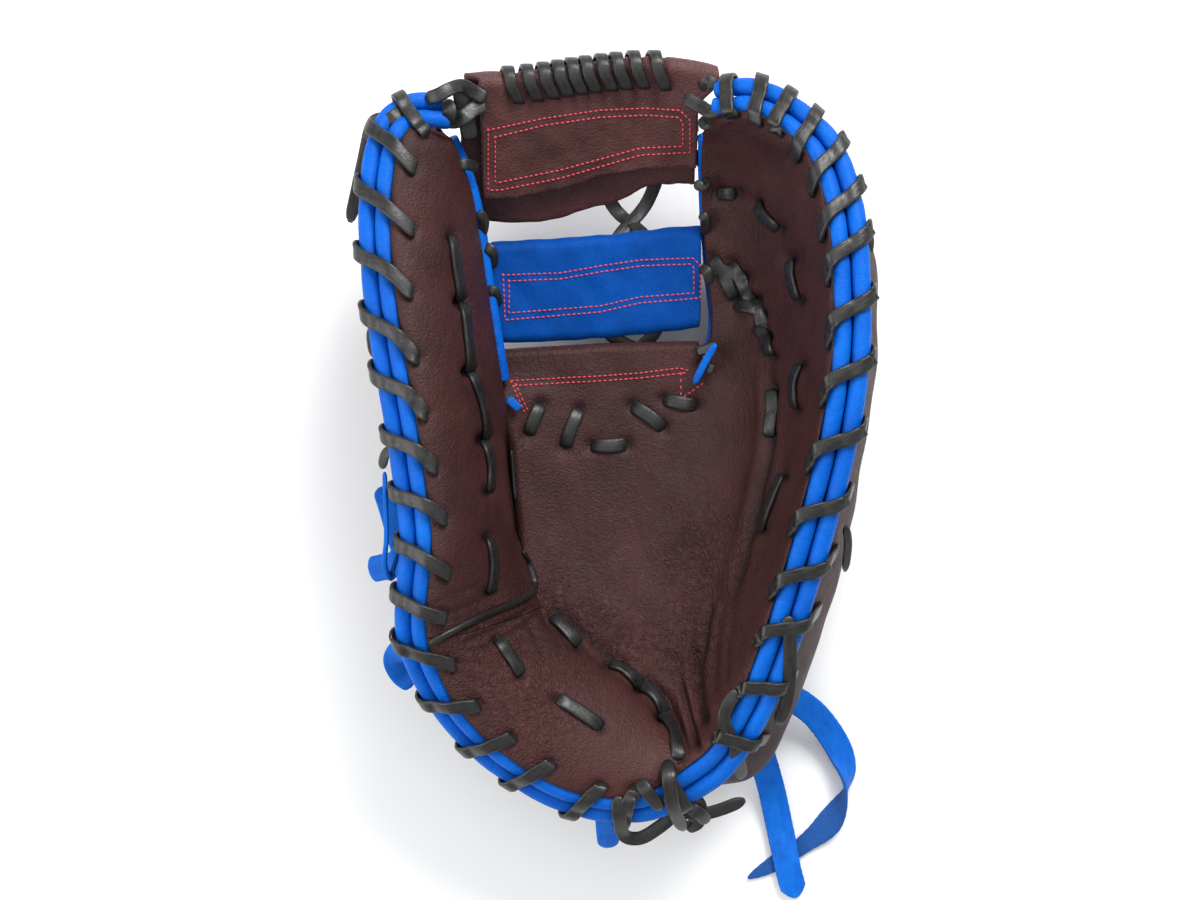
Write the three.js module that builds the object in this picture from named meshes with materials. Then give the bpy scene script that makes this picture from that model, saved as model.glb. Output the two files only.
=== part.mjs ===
// First baseman mitt for the left hand, lying on its back with the pocket facing up.
// Millimetres, +Z up, web toward +Y, finger side toward +X, resting on the plane z = 0.
// Inside the tables x is a share of WIDTH, y a share of LENGTH and z a share of DEPTH.

import * as THREE from 'three';

// Driving dimensions
const WIDTH = 206;
const LENGTH = 316;
const DEPTH = 118;

const PAD_THICK = 10;
const PAD_EDGE_THICK = 4.5;
const HEEL_EXTRA = 10;
const GROOVE_THICK = 5;
const BACK_THICK = 3;
const CLEAR = 0.4;

const BINDING_R = 3.8;
const INNER_BINDING_R = 2.9;

const LACE_WIDTH = 5.8;
const LACE_THICK = 1.8;

const BAR_WALL = 2.4;
const BAR_HOLLOW = 4.5;
const SLEEVE_HOLLOW = 4;

const STRAP_WIDTH = 46;
const STRAP_THICK = 2.6;
const STRAP_HALF = 34;
const STRAP_MIDDLE = 0.28;

const TIE_WIDTH = 12;
const TIE_THICK = 1.8;

// Rim stations from the thumb tip down to the heel and up to the finger tip.
// x, y, z: middle of the pair of rim bindings. fx, fy, fz: foot of the pad at that station.
// near, far: how far the pad stands off the straight line from rim to foot, shares of DEPTH.
// roll: tilt of the pair of bindings, in degrees.
const STATIONS = [
  { x: -0.346, y: 0.947, z: 0.712, fx: -0.345, fy: 0.924, fz: 0.627, near: 0.03, far: 0.03, roll: 18 },
  { x: -0.417, y: 0.942, z: 0.763, fx: -0.332, fy: 0.904, fz: 0.593, near: 0.07, far: 0.06, roll: 20 },
  { x: -0.460, y: 0.906, z: 0.822, fx: -0.315, fy: 0.877, fz: 0.559, near: 0.09, far: 0.10, roll: 24 },
  { x: -0.477, y: 0.819, z: 0.864, fx: -0.293, fy: 0.822, fz: 0.525, near: 0.10, far: 0.12, roll: 27 },
  { x: -0.468, y: 0.716, z: 0.898, fx: -0.270, fy: 0.720, fz: 0.483, near: 0.11, far: 0.13, roll: 28 },
  { x: -0.444, y: 0.614, z: 0.907, fx: -0.246, fy: 0.620, fz: 0.441, near: 0.11, far: 0.13, roll: 28 },
  { x: -0.428, y: 0.555, z: 0.907, fx: -0.235, fy: 0.567, fz: 0.398, near: 0.11, far: 0.12, roll: 28 },
  { x: -0.411, y: 0.481, z: 0.898, fx: -0.221, fy: 0.486, fz: 0.373, near: 0.11, far: 0.11, roll: 28 },
  { x: -0.396, y: 0.392, z: 0.881, fx: -0.205, fy: 0.391, fz: 0.364, near: 0.11, far: 0.11, roll: 28 },
  { x: -0.408, y: 0.299, z: 0.839, fx: -0.173, fy: 0.316, fz: 0.373, near: 0.10, far: 0.11, roll: 30 },
  { x: -0.399, y: 0.245, z: 0.780, fx: -0.146, fy: 0.275, fz: 0.400, near: 0.08, far: 0.12, roll: 36 },
  { x: -0.348, y: 0.175, z: 0.703, fx: -0.070, fy: 0.235, fz: 0.415, near: 0.10, far: 0.15, roll: 46 },
  { x: -0.252, y: 0.105, z: 0.636, fx: -0.004, fy: 0.203, fz: 0.441, near: 0.11, far: 0.15, roll: 48 },
  { x: -0.106, y: 0.048, z: 0.593, fx: 0.053, fy: 0.170, fz: 0.475, near: 0.11, far: 0.13, roll: 46 },
  { x: 0.042, y: 0.037, z: 0.593, fx: 0.100, fy: 0.137, fz: 0.530, near: 0.08, far: 0.08, roll: 36 },
  { x: 0.165, y: 0.077, z: 0.619, fx: 0.142, fy: 0.112, fz: 0.610, near: 0.03, far: 0.02, roll: 16 },
  { x: 0.222, y: 0.117, z: 0.669, fx: 0.169, fy: 0.144, fz: 0.540, near: 0.03, far: 0.03, roll: 16 },
  { x: 0.267, y: 0.171, z: 0.729, fx: 0.174, fy: 0.183, fz: 0.462, near: 0.04, far: 0.00, roll: 14 },
  { x: 0.294, y: 0.216, z: 0.771, fx: 0.167, fy: 0.222, fz: 0.432, near: 0.04, far: -0.04, roll: 10 },
  { x: 0.322, y: 0.269, z: 0.814, fx: 0.157, fy: 0.271, fz: 0.407, near: 0.04, far: -0.10, roll: 6 },
  { x: 0.351, y: 0.334, z: 0.864, fx: 0.155, fy: 0.331, fz: 0.386, near: 0.04, far: -0.16, roll: 3 },
  { x: 0.383, y: 0.411, z: 0.915, fx: 0.160, fy: 0.405, fz: 0.373, near: 0.04, far: -0.21, roll: 3 },
  { x: 0.418, y: 0.504, z: 0.958, fx: 0.168, fy: 0.500, fz: 0.364, near: 0.04, far: -0.25, roll: 3 },
  { x: 0.439, y: 0.588, z: 0.992, fx: 0.175, fy: 0.567, fz: 0.364, near: 0.04, far: -0.26, roll: 3 },
  { x: 0.447, y: 0.663, z: 1.000, fx: 0.170, fy: 0.606, fz: 0.373, near: 0.04, far: -0.26, roll: 3 },
  { x: 0.445, y: 0.720, z: 1.000, fx: 0.196, fy: 0.672, fz: 0.390, near: 0.04, far: -0.24, roll: 3 },
  { x: 0.441, y: 0.770, z: 0.992, fx: 0.186, fy: 0.748, fz: 0.415, near: 0.04, far: -0.22, roll: 4 },
  { x: 0.429, y: 0.828, z: 0.966, fx: 0.176, fy: 0.824, fz: 0.458, near: 0.04, far: -0.18, roll: 6 },
  { x: 0.397, y: 0.889, z: 0.924, fx: 0.172, fy: 0.876, fz: 0.508, near: 0.04, far: -0.12, roll: 10 },
  { x: 0.335, y: 0.933, z: 0.864, fx: 0.171, fy: 0.902, fz: 0.559, near: 0.05, far: -0.05, roll: 15 },
  { x: 0.267, y: 0.960, z: 0.805, fx: 0.170, fy: 0.916, fz: 0.593, near: 0.05, far: 0.00, roll: 18 },
  { x: 0.192, y: 0.962, z: 0.737, fx: 0.166, fy: 0.926, fz: 0.619, near: 0.05, far: 0.00, roll: 18 },
];

// Back of the thumb side. belly, belly_z: widest place outside the rim. keel, keel_z: lowest place,
// inward from the rim. end, end_z: free inner edge, at the inner binding or at the hand opening.
const THUMB_BACK = [
  { at: 0.8, belly: 0.012, belly_z: 0.62, keel: 0.045, keel_z: 0.53, end: 0.075, end_z: 0.530 },
  { at: 2, belly: 0.010, belly_z: 0.62, keel: 0.075, keel_z: 0.44, end: 0.143, end_z: 0.481 },
  { at: 3, belly: 0.008, belly_z: 0.58, keel: 0.090, keel_z: 0.32, end: 0.180, end_z: 0.447 },
  { at: 4, belly: 0.008, belly_z: 0.54, keel: 0.105, keel_z: 0.20, end: 0.193, end_z: 0.400 },
  { at: 5, belly: 0.010, belly_z: 0.50, keel: 0.115, keel_z: 0.09, end: 0.190, end_z: 0.290 },
  { at: 6, belly: 0.012, belly_z: 0.46, keel: 0.125, keel_z: 0.03, end: 0.230, end_z: 0.150 },
  { at: 7, belly: 0.015, belly_z: 0.42, keel: 0.135, keel_z: -0.015, end: 0.275, end_z: 0.010 },
  { at: 8, belly: 0.017, belly_z: 0.40, keel: 0.140, keel_z: -0.025, end: 0.280, end_z: -0.020 },
  { at: 9, belly: 0.012, belly_z: 0.40, keel: 0.145, keel_z: -0.025, end: 0.285, end_z: -0.020 },
  { at: 10.3, belly: 0.004, belly_z: 0.40, keel: 0.135, keel_z: -0.020, end: 0.270, end_z: -0.020 },
];

// Back of the finger side, same columns.
const FINGER_BACK = [
  { at: 15.6, belly: 0.045, belly_z: 0.36, keel: 0.060, keel_z: -0.010, end: 0.130, end_z: -0.020 },
  { at: 16.2, belly: 0.080, belly_z: 0.37, keel: 0.075, keel_z: -0.010, end: 0.150, end_z: -0.020 },
  { at: 17, belly: 0.100, belly_z: 0.38, keel: 0.090, keel_z: -0.020, end: 0.175, end_z: -0.020 },
  { at: 18, belly: 0.100, belly_z: 0.40, keel: 0.100, keel_z: -0.025, end: 0.200, end_z: -0.020 },
  { at: 19, belly: 0.100, belly_z: 0.42, keel: 0.115, keel_z: -0.025, end: 0.220, end_z: -0.020 },
  { at: 20, belly: 0.100, belly_z: 0.44, keel: 0.130, keel_z: -0.025, end: 0.248, end_z: -0.020 },
  { at: 21, belly: 0.095, belly_z: 0.46, keel: 0.140, keel_z: -0.025, end: 0.280, end_z: -0.020 },
  { at: 22, belly: 0.080, belly_z: 0.48, keel: 0.150, keel_z: -0.020, end: 0.300, end_z: 0.000 },
  { at: 23, belly: 0.082, belly_z: 0.50, keel: 0.155, keel_z: -0.005, end: 0.280, end_z: 0.120 },
  { at: 24, belly: 0.082, belly_z: 0.51, keel: 0.150, keel_z: 0.010, end: 0.290, end_z: 0.262 },
  { at: 25, belly: 0.082, belly_z: 0.52, keel: 0.140, keel_z: 0.040, end: 0.257, end_z: 0.268 },
  { at: 26, belly: 0.072, belly_z: 0.53, keel: 0.135, keel_z: 0.090, end: 0.252, end_z: 0.300 },
  { at: 27, belly: 0.045, belly_z: 0.56, keel: 0.130, keel_z: 0.180, end: 0.250, end_z: 0.342 },
  { at: 28, belly: 0.022, belly_z: 0.60, keel: 0.115, keel_z: 0.290, end: 0.223, end_z: 0.362 },
  { at: 29, belly: 0.010, belly_z: 0.64, keel: 0.090, keel_z: 0.420, end: 0.182, end_z: 0.408 },
  { at: 30.1, belly: 0.010, belly_z: 0.62, keel: 0.060, keel_z: 0.480, end: 0.115, end_z: 0.455 },
];

// Middle line of the pocket from the free top edge of the palm down into the heel groove.
// The first rows stand above the foot of the pads and state their own left and right edges.
const POCKET_TOP = [
  { left: [-0.244, 0.633, 0.362], middle: [-0.039, 0.640, 0.362], right: [0.158, 0.644, 0.376] },
  { left: [-0.240, 0.603, 0.360], middle: [-0.039, 0.606, 0.352], right: [0.157, 0.621, 0.372] },
];
const POCKET_MIDDLE = [
  [-0.039, 0.574, 0.345],
  [-0.028, 0.493, 0.339],
  [-0.016, 0.418, 0.331],
  [-0.001, 0.344, 0.331],
  [0.023, 0.276, 0.350],
  [0.054, 0.224, 0.373],
  [0.083, 0.184, 0.403],
  [0.110, 0.152, 0.441],
  [0.130, 0.128, 0.510],
];

const THUMB_FIRST = 0.35;
const THUMB_LAST = 9.5;
const FINGER_LAST = 30.4;
const POCKET_FIRST = 6;
const HEEL_STATION = 15;
const FREE_EDGE_FINGER = 24;

// Folded top bar of the web, seen across from the thumb to the finger side.
// top, front and back are y: the fold, the front flap's free edge and the back layer's free edge.
const TOP_BAR = [
  { x: -0.275, top: 0.990, front: 0.842, back: 0.803, sag: 0.000 },
  { x: -0.218, top: 0.994, front: 0.845, back: 0.799, sag: 0.015 },
  { x: -0.148, top: 1.000, front: 0.853, back: 0.800, sag: 0.028 },
  { x: -0.079, top: 1.007, front: 0.865, back: 0.814, sag: 0.035 },
  { x: -0.009, top: 1.012, front: 0.878, back: 0.824, sag: 0.035 },
  { x: 0.061, top: 1.014, front: 0.883, back: 0.846, sag: 0.028 },
  { x: 0.115, top: 1.008, front: 0.886, back: 0.848, sag: 0.018 },
  { x: 0.155, top: 0.998, front: 0.884, back: 0.845, sag: 0.008 },
];
const TOP_BAR_Z = { top: 0.705, bottom: 0.475 };

// Middle bar: a flat sleeve with open ends.
const MIDDLE_BAR = [
  { x: -0.240, top: 0.784, bottom: 0.649, sag: 0.000 },
  { x: -0.162, top: 0.788, bottom: 0.651, sag: 0.015 },
  { x: -0.080, top: 0.792, bottom: 0.654, sag: 0.025 },
  { x: 0.002, top: 0.797, bottom: 0.658, sag: 0.025 },
  { x: 0.084, top: 0.803, bottom: 0.664, sag: 0.015 },
  { x: 0.148, top: 0.806, bottom: 0.671, sag: 0.000 },
];
const MIDDLE_BAR_Z = { top: 0.440, bottom: 0.380 };

// Rim lacing: station of each wrap's hole in the palm and of its end on the back.
// hole: how far down the pad the hole is, share of the way from the rim to the foot.
const RIM_LACES = [
  { palm: 1.45, back: 0.98, hole: 0.18 },
  { palm: 2.49, back: 1.81, hole: 0.20 },
  { palm: 3.39, back: 2.65, hole: 0.20 },
  { palm: 4.15, back: 3.49, hole: 0.14 },
  { palm: 4.95, back: 4.21, hole: 0.10 },
  { palm: 6.11, back: 4.95, hole: 0.09 },
  { palm: 6.99, back: 6.29, hole: 0.11 },
  { palm: 7.71, back: 7.23, hole: 0.13 },
  { palm: 8.37, back: 8.00, hole: 0.17 },
  { palm: 9.01, back: 8.71, hole: 0.17 },
  { palm: 10.25, back: 9.61, hole: 0.17 },
  { palm: 11.11, back: 10.77, hole: 0.16 },
  { palm: 11.85, back: 11.65, hole: 0.18 },
  { palm: 12.51, back: 12.31, hole: 0.18 },
  { palm: 13.36, back: 13.05, hole: 0.14 },
  { palm: 13.95, back: 13.70, hole: 0.10 },
  { palm: 14.62, back: 14.55, hole: 0.10 },
  { palm: 16.15, back: 16.40, hole: 0.06 },
  { palm: 17.40, back: 17.95, hole: 0.06 },
  { palm: 18.75, back: 19.49, hole: 0.06 },
  { palm: 19.75, back: 20.55, hole: 0.08 },
  { palm: 20.85, back: 21.49, hole: 0.06 },
  { palm: 21.73, back: 22.43, hole: 0.06 },
  { palm: 22.71, back: 23.51, hole: 0.06 },
  { palm: 23.67, back: 24.73, hole: 0.06 },
  { palm: 25.01, back: 26.29, hole: 0.07 },
  { palm: 26.15, back: 27.19, hole: 0.14 },
  { palm: 27.19, back: 28.01, hole: 0.17 },
  { palm: 28.05, back: 28.69, hole: 0.21 },
  { palm: 28.87, back: 29.37, hole: 0.09 },
  { palm: 29.43, back: 30.03, hole: 0.17 },
  { palm: 30.45, back: 30.69, hole: 0.06 },
];

// Lace wraps over the fold of the top bar: x of each hole in the front flap.
const TOP_WRAPS = [-0.202, -0.164, -0.132, -0.103, -0.075, -0.047, -0.015, 0.015, 0.049, 0.091];
const TOP_WRAP_SLANT = -0.024;
const TOP_WRAP_FRONT = 0.036;
const TOP_WRAP_BACK = 0.050;

// Laces that run through the bars from the thumb to the finger side. along: share of the bar's depth.
const BAR_LACES = [
  { name: 'web_lace_top', bar: 'top', along: 0.35 },
  { name: 'web_lace_middle', bar: 'middle', along: 0.50 },
];
const BAR_LACE_OVERHANG = 1.5;

// Laces that run behind the bars from the top bar to the folded edge of the palm.
const CROSS_LACES = [
  { name: 'web_cross_lace_left', top: -0.120, bottom: 0.020 },
  { name: 'web_cross_lace_right', top: 0.110, bottom: 0.070 },
];

// Free blue tie ends, laid on the surface: x, y in shares, z above the surface in mm.
const TIE_OUTER = [
  [0.302, 0.089, 19.0],
  [0.328, 0.034, 7.0],
  [0.345, -0.015, 3.8],
  [0.356, -0.050, 4.2],
  [0.367, -0.085, 4.2],
  [0.383, -0.121, 3.0],
];
const TIE_INNER = [
  [0.347, 0.173, 21.5],
  [0.420, 0.138, 12.0],
  [0.477, 0.084, 5.6],
  [0.491, 0.037, 6.6],
  [0.456, -0.014, 3.6],
  [0.399, -0.048, 1.4],
  [0.335, -0.075, 1.4],
  [0.280, -0.095, 1.4],
];

const LEATHER_BROWN = 0x4a2e2c;
const LEATHER_BLUE = 0x156be8;
const WEB_BLUE = 0x0b55bd;
const LACE_BLACK = 0x2b2b2b;

const UP = new THREE.Vector3(0, 0, 1);

function place(x, y, z) {
  return new THREE.Vector3(x * WIDTH, y * LENGTH, z * DEPTH);
}

function mix(a, b, share) {
  return a + (b - a) * share;
}

function smooth(from, to, value) {
  const t = Math.min(1, Math.max(0, (value - from) / (to - from)));
  return t * t * (3 - 2 * t);
}

// Smooth run through a list of numbers at a fractional index.
function through(list, index) {
  const last = list.length - 1;
  const i = Math.min(Math.max(Math.floor(index), 0), last - 1);
  const f = index - i;
  const b = list[i];
  const c = list[i + 1];
  const a = i > 0 ? list[i - 1] : 2 * b - c;
  const d = i + 2 <= last ? list[i + 2] : 2 * c - b;
  const slope = c - a;
  const bend = 2 * a - 5 * b + 4 * c - d;
  const twist = 3 * b - a - 3 * c + d;
  return b + 0.5 * f * (slope + f * (bend + f * twist));
}

function throughPoints(points, index) {
  const column = (axis) => through(points.map((p) => p.getComponent(axis)), index);
  return new THREE.Vector3(column(0), column(1), column(2));
}

function station(name, u) {
  return through(STATIONS.map((row) => row[name]), u);
}

function rimMiddle(u) {
  return place(station('x', u), station('y', u), station('z', u));
}

function footOfPad(u) {
  return place(station('fx', u), station('fy', u), station('fz', u));
}

// Frame of the rim: along it, toward the palm across the pair of bindings, and away from the leather.
function rimFrame(u) {
  const step = 0.02;
  const along = rimMiddle(u + step).sub(rimMiddle(u - step)).normalize();
  const inward = new THREE.Vector3(-along.y, along.x, 0).normalize();
  const roll = THREE.MathUtils.degToRad(station('roll', u));
  const side = inward.multiplyScalar(Math.cos(roll)).addScaledVector(UP, Math.sin(roll));
  side.addScaledVector(along, -side.dot(along)).normalize();
  const out = new THREE.Vector3().crossVectors(along, side).normalize();
  return { middle: rimMiddle(u), along, side, out };
}

function rimPoint(u, toward, outward) {
  const frame = rimFrame(u);
  return frame.middle.addScaledVector(frame.side, toward).addScaledVector(frame.out, outward);
}

const BINDING_OFFSET = BINDING_R + CLEAR / 2;
const PANEL_EDGE = BINDING_OFFSET + BINDING_R + CLEAR;

// Palm-side surface of a pad, from the rim (t = 0) to its foot (t = 1).
function padPoint(u, t) {
  const start = rimPoint(u, PANEL_EDGE, PAD_EDGE_THICK / 2);
  const foot = footOfPad(u);
  const chord = foot.clone().sub(start);
  const level = Math.hypot(chord.x, chord.y);
  const normal = new THREE.Vector3(-chord.x * chord.z / level, -chord.y * chord.z / level, level);
  normal.normalize();
  const first = rimPoint(u, PANEL_EDGE + station('near', u) * DEPTH, PAD_EDGE_THICK / 2);
  const second = start.clone().lerp(foot, 0.75).addScaledVector(normal, station('far', u) * DEPTH);
  return new THREE.CubicBezierCurve3(start, first, second, foot).getPoint(t);
}

function surfaceNormal(surface, u, t) {
  const step = 0.02;
  const low = Math.max(0, t - step);
  const along = surface(u + step, t).sub(surface(u - step, t));
  const across = surface(u, t + step).sub(surface(u, low));
  return along.cross(across).normalize();
}

// Direction of a pad's thickness where it turns down from the rim; farther in it is the normal.
function padDirection(u, t) {
  const turn = 0.5;
  if (t >= turn) {
    return undefined;
  }
  return rimFrame(u).out.lerp(surfaceNormal(padPoint, u, t), t / turn).normalize();
}

// Thickness of the pocket floor, thinner in the groove that runs out between the heel pads.
function floorThickness(u) {
  return mix(GROOVE_THICK, PAD_THICK, smooth(0, 2.5, Math.abs(u - HEEL_STATION)));
}

function padThickness(u, t) {
  const heel = HEEL_EXTRA * smooth(9.5, 11.5, u) * (1 - smooth(13.5, 15, u));
  const body = floorThickness(u) + heel * Math.sin(Math.PI * Math.min(1, Math.max(0, t)));
  const free = u < POCKET_FIRST || u > FREE_EDGE_FINGER;
  const edge = free ? PAD_EDGE_THICK : floorThickness(u);
  const rimSide = mix(PAD_EDGE_THICK, body, smooth(0, 0.3, t));
  return mix(rimSide, edge, smooth(0.7, 1, t));
}

// Pocket floor: row 0 is the free top edge of the palm, later rows follow the feet of the pads.
const TOP_ROWS = POCKET_TOP.length;

function pocketEdge(row, side) {
  const edges = POCKET_TOP.map((top) => place(...top[side]));
  const first = side === 'left' ? POCKET_FIRST : FREE_EDGE_FINGER;
  const step = side === 'left' ? 1 : -1;
  if (row >= TOP_ROWS) {
    return footOfPad(first + step * (row - TOP_ROWS));
  }
  return throughPoints([...edges, footOfPad(first), footOfPad(first + step)], row);
}

function pocketMiddle(row) {
  const tops = POCKET_TOP.map((top) => place(...top.middle));
  const middles = POCKET_MIDDLE.map((share) => place(...share));
  return throughPoints([...tops, ...middles, footOfPad(HEEL_STATION)], row);
}

function pocketPoint(row, across) {
  const edge = pocketEdge(row, across < 0 ? 'left' : 'right');
  const middle = pocketMiddle(row);
  const share = Math.abs(across);
  const point = middle.clone().lerp(edge, share);
  point.z = mix(middle.z, edge.z, share * share);
  return point;
}

// Outer surface of a back, from under the rim (t = 0) to its free inner edge (t = 1).
function backPoint(table, u, t) {
  const last = table.length - 1;
  let row = 0;
  while (row < last - 1 && u > table[row + 1].at) {
    row += 1;
  }
  const index = row + (u - table[row].at) / (table[row + 1].at - table[row].at);
  const value = (name) => through(table.map((entry) => entry[name]), index);
  const rim = rimMiddle(u);
  const foot = footOfPad(u);
  const inward = new THREE.Vector3(foot.x - rim.x, foot.y - rim.y, 0).normalize();
  const at = (distance, height) => {
    const point = rim.clone().addScaledVector(inward, distance * WIDTH);
    point.z = height * DEPTH;
    return point;
  };
  const start = rimPoint(u, -BINDING_OFFSET * 1.3, -BINDING_R - CLEAR);
  const belly = at(-value('belly'), value('belly_z'));
  const keel = at(value('keel'), value('keel_z'));
  const end = at(value('end'), value('end_z'));
  const hip = belly.clone().lerp(keel, 0.5);
  hip.z = mix(belly.z, keel.z, 0.72);
  hip.addScaledVector(inward, -0.10 * belly.distanceTo(keel));
  const point = throughPoints([start, belly, hip, keel, end], 4 * t);
  point.z = Math.max(0, point.z);
  return point;
}

function range(first, last, steps) {
  return Array.from({ length: steps + 1 }, (_, i) => mix(first, last, i / steps));
}

// Closed mesh from points and triangles, with its faces turned out.
function closedGeometry(points, triangles) {
  const positions = points.flatMap((p) => [p.x, p.y, p.z]);
  let volume = 0;
  for (const [a, b, c] of triangles) {
    volume += points[a].dot(new THREE.Vector3().crossVectors(points[b], points[c]));
  }
  const index = triangles.flatMap(([a, b, c]) => (volume < 0 ? [a, c, b] : [a, b, c]));
  const geometry = new THREE.BufferGeometry();
  geometry.setAttribute('position', new THREE.Float32BufferAttribute(positions, 3));
  geometry.setIndex(index);
  geometry.computeVertexNormals();
  return geometry;
}

// Joins grids of points into one surface with shared vertices.
// Each grid entry is { point, thick, direction }, and direction is left out where the normal serves.
function weldGrids(grids) {
  const keys = new Map();
  const points = [];
  const thickness = [];
  const directions = [];
  const triangles = [];
  const vertex = ({ point, thick, direction }) => {
    const key = [point.x, point.y, point.z].map((value) => Math.round(value * 1000)).join();
    if (!keys.has(key)) {
      keys.set(key, points.length);
      points.push(point);
      thickness.push(thick);
      directions.push(direction);
    }
    return keys.get(key);
  };
  const add = (a, b, c) => {
    if (a !== b && b !== c && c !== a) {
      triangles.push([a, b, c]);
    }
  };
  for (const grid of grids) {
    for (let i = 0; i + 1 < grid.length; i += 1) {
      for (let j = 0; j + 1 < grid[i].length; j += 1) {
        const a = vertex(grid[i][j]);
        const b = vertex(grid[i + 1][j]);
        const c = vertex(grid[i + 1][j + 1]);
        const d = vertex(grid[i][j + 1]);
        add(a, b, c);
        add(a, c, d);
      }
    }
  }
  return { points, thickness, directions, triangles };
}

function vertexNormals(points, triangles) {
  const normals = points.map(() => new THREE.Vector3());
  for (const [a, b, c] of triangles) {
    const first = points[b].clone().sub(points[a]);
    const second = points[c].clone().sub(points[a]);
    const face = first.cross(second);
    normals[a].add(face);
    normals[b].add(face);
    normals[c].add(face);
  }
  return normals.map((normal) => normal.normalize());
}

// A wall: the welded surface, the same surface moved back by its thickness, and its edges.
function wallGeometry(grids) {
  const { points, thickness, directions, triangles } = weldGrids(grids);
  const normals = vertexNormals(points, triangles).map((normal, i) => directions[i] ?? normal);
  const count = points.length;
  const inner = points.map((p, i) => p.clone().addScaledVector(normals[i], -thickness[i]));
  const edges = new Map();
  for (const [a, b, c] of triangles) {
    for (const [from, to] of [[a, b], [b, c], [c, a]]) {
      if (!edges.delete(`${to},${from}`)) {
        edges.set(`${from},${to}`, [from, to]);
      }
    }
  }
  const all = [...triangles];
  for (const [a, b, c] of triangles) {
    all.push([a + count, c + count, b + count]);
  }
  for (const [from, to] of edges.values()) {
    all.push([from, from + count, to], [to, from + count, to + count]);
  }
  return closedGeometry([...points, ...inner], all);
}

// Sweeps a closed profile of [across, outward] pairs along points.
// reference gives the direction that the profile's first axis keeps to.
function sweepGeometry(path, references, profile) {
  const points = [];
  const triangles = [];
  const sides = profile.length;
  path.forEach((point, i) => {
    const before = path[Math.max(0, i - 1)];
    const after = path[Math.min(path.length - 1, i + 1)];
    const tangent = after.clone().sub(before).normalize();
    const across = references[i].clone();
    across.addScaledVector(tangent, -across.dot(tangent)).normalize();
    const outward = new THREE.Vector3().crossVectors(across, tangent);
    for (const [a, b] of profile) {
      points.push(point.clone().addScaledVector(across, a).addScaledVector(outward, b));
    }
  });
  for (let i = 0; i + 1 < path.length; i += 1) {
    for (let j = 0; j < sides; j += 1) {
      const a = i * sides + j;
      const b = i * sides + (j + 1) % sides;
      triangles.push([a, b, b + sides], [a, b + sides, a + sides]);
    }
  }
  const lastRing = (path.length - 1) * sides;
  for (let j = 1; j + 1 < sides; j += 1) {
    triangles.push([0, j + 1, j], [lastRing, lastRing + j, lastRing + j + 1]);
  }
  return closedGeometry(points, triangles);
}

function roundProfile(radius, sides) {
  return Array.from({ length: sides }, (_, i) => {
    const angle = 2 * Math.PI * (i + 0.5) / sides;
    return [radius * Math.cos(angle), radius * Math.sin(angle)];
  });
}

function flatProfile(width, thickness) {
  const w = width / 2;
  const t = thickness / 2;
  return [[-w, -t], [w, -t], [w, t], [-w, t]];
}

const mitt = new THREE.Group();

function addPiece(name, geometry, color, roughness) {
  const material = new THREE.MeshStandardMaterial({ color, roughness, metalness: 0 });
  const mesh = new THREE.Mesh(geometry, material);
  mesh.name = name;
  mitt.add(mesh);
}

function padGrid(us, tEnd, steps) {
  return us.map((u) => range(0, tEnd, steps).map((t) => ({
    point: padPoint(u, t),
    thick: padThickness(u, t),
    direction: padDirection(u, t),
  })));
}

// Thumb pad, a panel of its own down to the welted seam across the heel
function addThumbPad() {
  const seam = THUMB_LAST - 0.03;
  const us = range(THUMB_FIRST, seam, 17);
  addPiece('thumb_pad', wallGeometry([padGrid(us, 0.99, 8)]), LEATHER_BROWN, 0.5);
}

// Palm: heel pads, finger wall, pocket floor and folded top edge in one panel
function addPalm() {
  const outer = range(THUMB_LAST, FINGER_LAST - 0.4, 41);
  const walls = padGrid([...outer, FINGER_LAST], 1, 8);
  const rows = range(0, TOP_ROWS + POCKET_MIDDLE.length, 2 * (TOP_ROWS + POCKET_MIDDLE.length));
  const floor = rows.map((row) => range(-1, 1, 8).map((across) => ({
    point: pocketPoint(row, across),
    thick: floorThickness(row - TOP_ROWS + POCKET_FIRST),
  })));
  addPiece('palm', wallGeometry([walls, floor]), LEATHER_BROWN, 0.5);
}

function addBack(name, table, steps) {
  const us = range(table[0].at, table[table.length - 1].at, steps);
  const grid = us.map((u) => range(0, 1, 9).map((t) => ({
    point: backPoint(table, u, t),
    thick: -BACK_THICK,
  })));
  addPiece(name, wallGeometry([grid]), LEATHER_BROWN, 0.55);
}

function addRimBinding(name, side) {
  const us = range(0, STATIONS.length - 1, 56);
  const path = us.map((u) => rimPoint(u, side * BINDING_OFFSET, 0));
  const references = us.map((u) => rimFrame(u).side);
  addPiece(name, sweepGeometry(path, references, roundProfile(BINDING_R, 7)), LEATHER_BLUE, 0.4);
}

// Round binding along a free inner edge, at a set place beside or under the edge of the pad
const UNDER_PAD = PAD_EDGE_THICK + INNER_BINDING_R + 3 * CLEAR;
const INNER_EDGES = {
  thumb: { first: THUMB_FIRST, last: 5.3, inward: 0.5, down: INNER_BINDING_R + CLEAR },
  finger: { first: 24.6, last: FINGER_LAST, inward: -1, down: UNDER_PAD },
};

function innerDirection(u) {
  const toward = footOfPad(u).sub(rimMiddle(u));
  toward.z = 0;
  return toward.normalize();
}

function innerBindingPoint(edge, u) {
  return footOfPad(u).addScaledVector(innerDirection(u), edge.inward).addScaledVector(UP, -edge.down);
}

function addInnerBinding(name, edge) {
  const us = range(edge.first, edge.last, 12);
  const path = us.map((u) => innerBindingPoint(edge, u));
  const references = us.map((u) => innerDirection(u));
  addPiece(name, sweepGeometry(path, references, roundProfile(INNER_BINDING_R, 7)), LEATHER_BLUE, 0.4);
}

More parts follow.
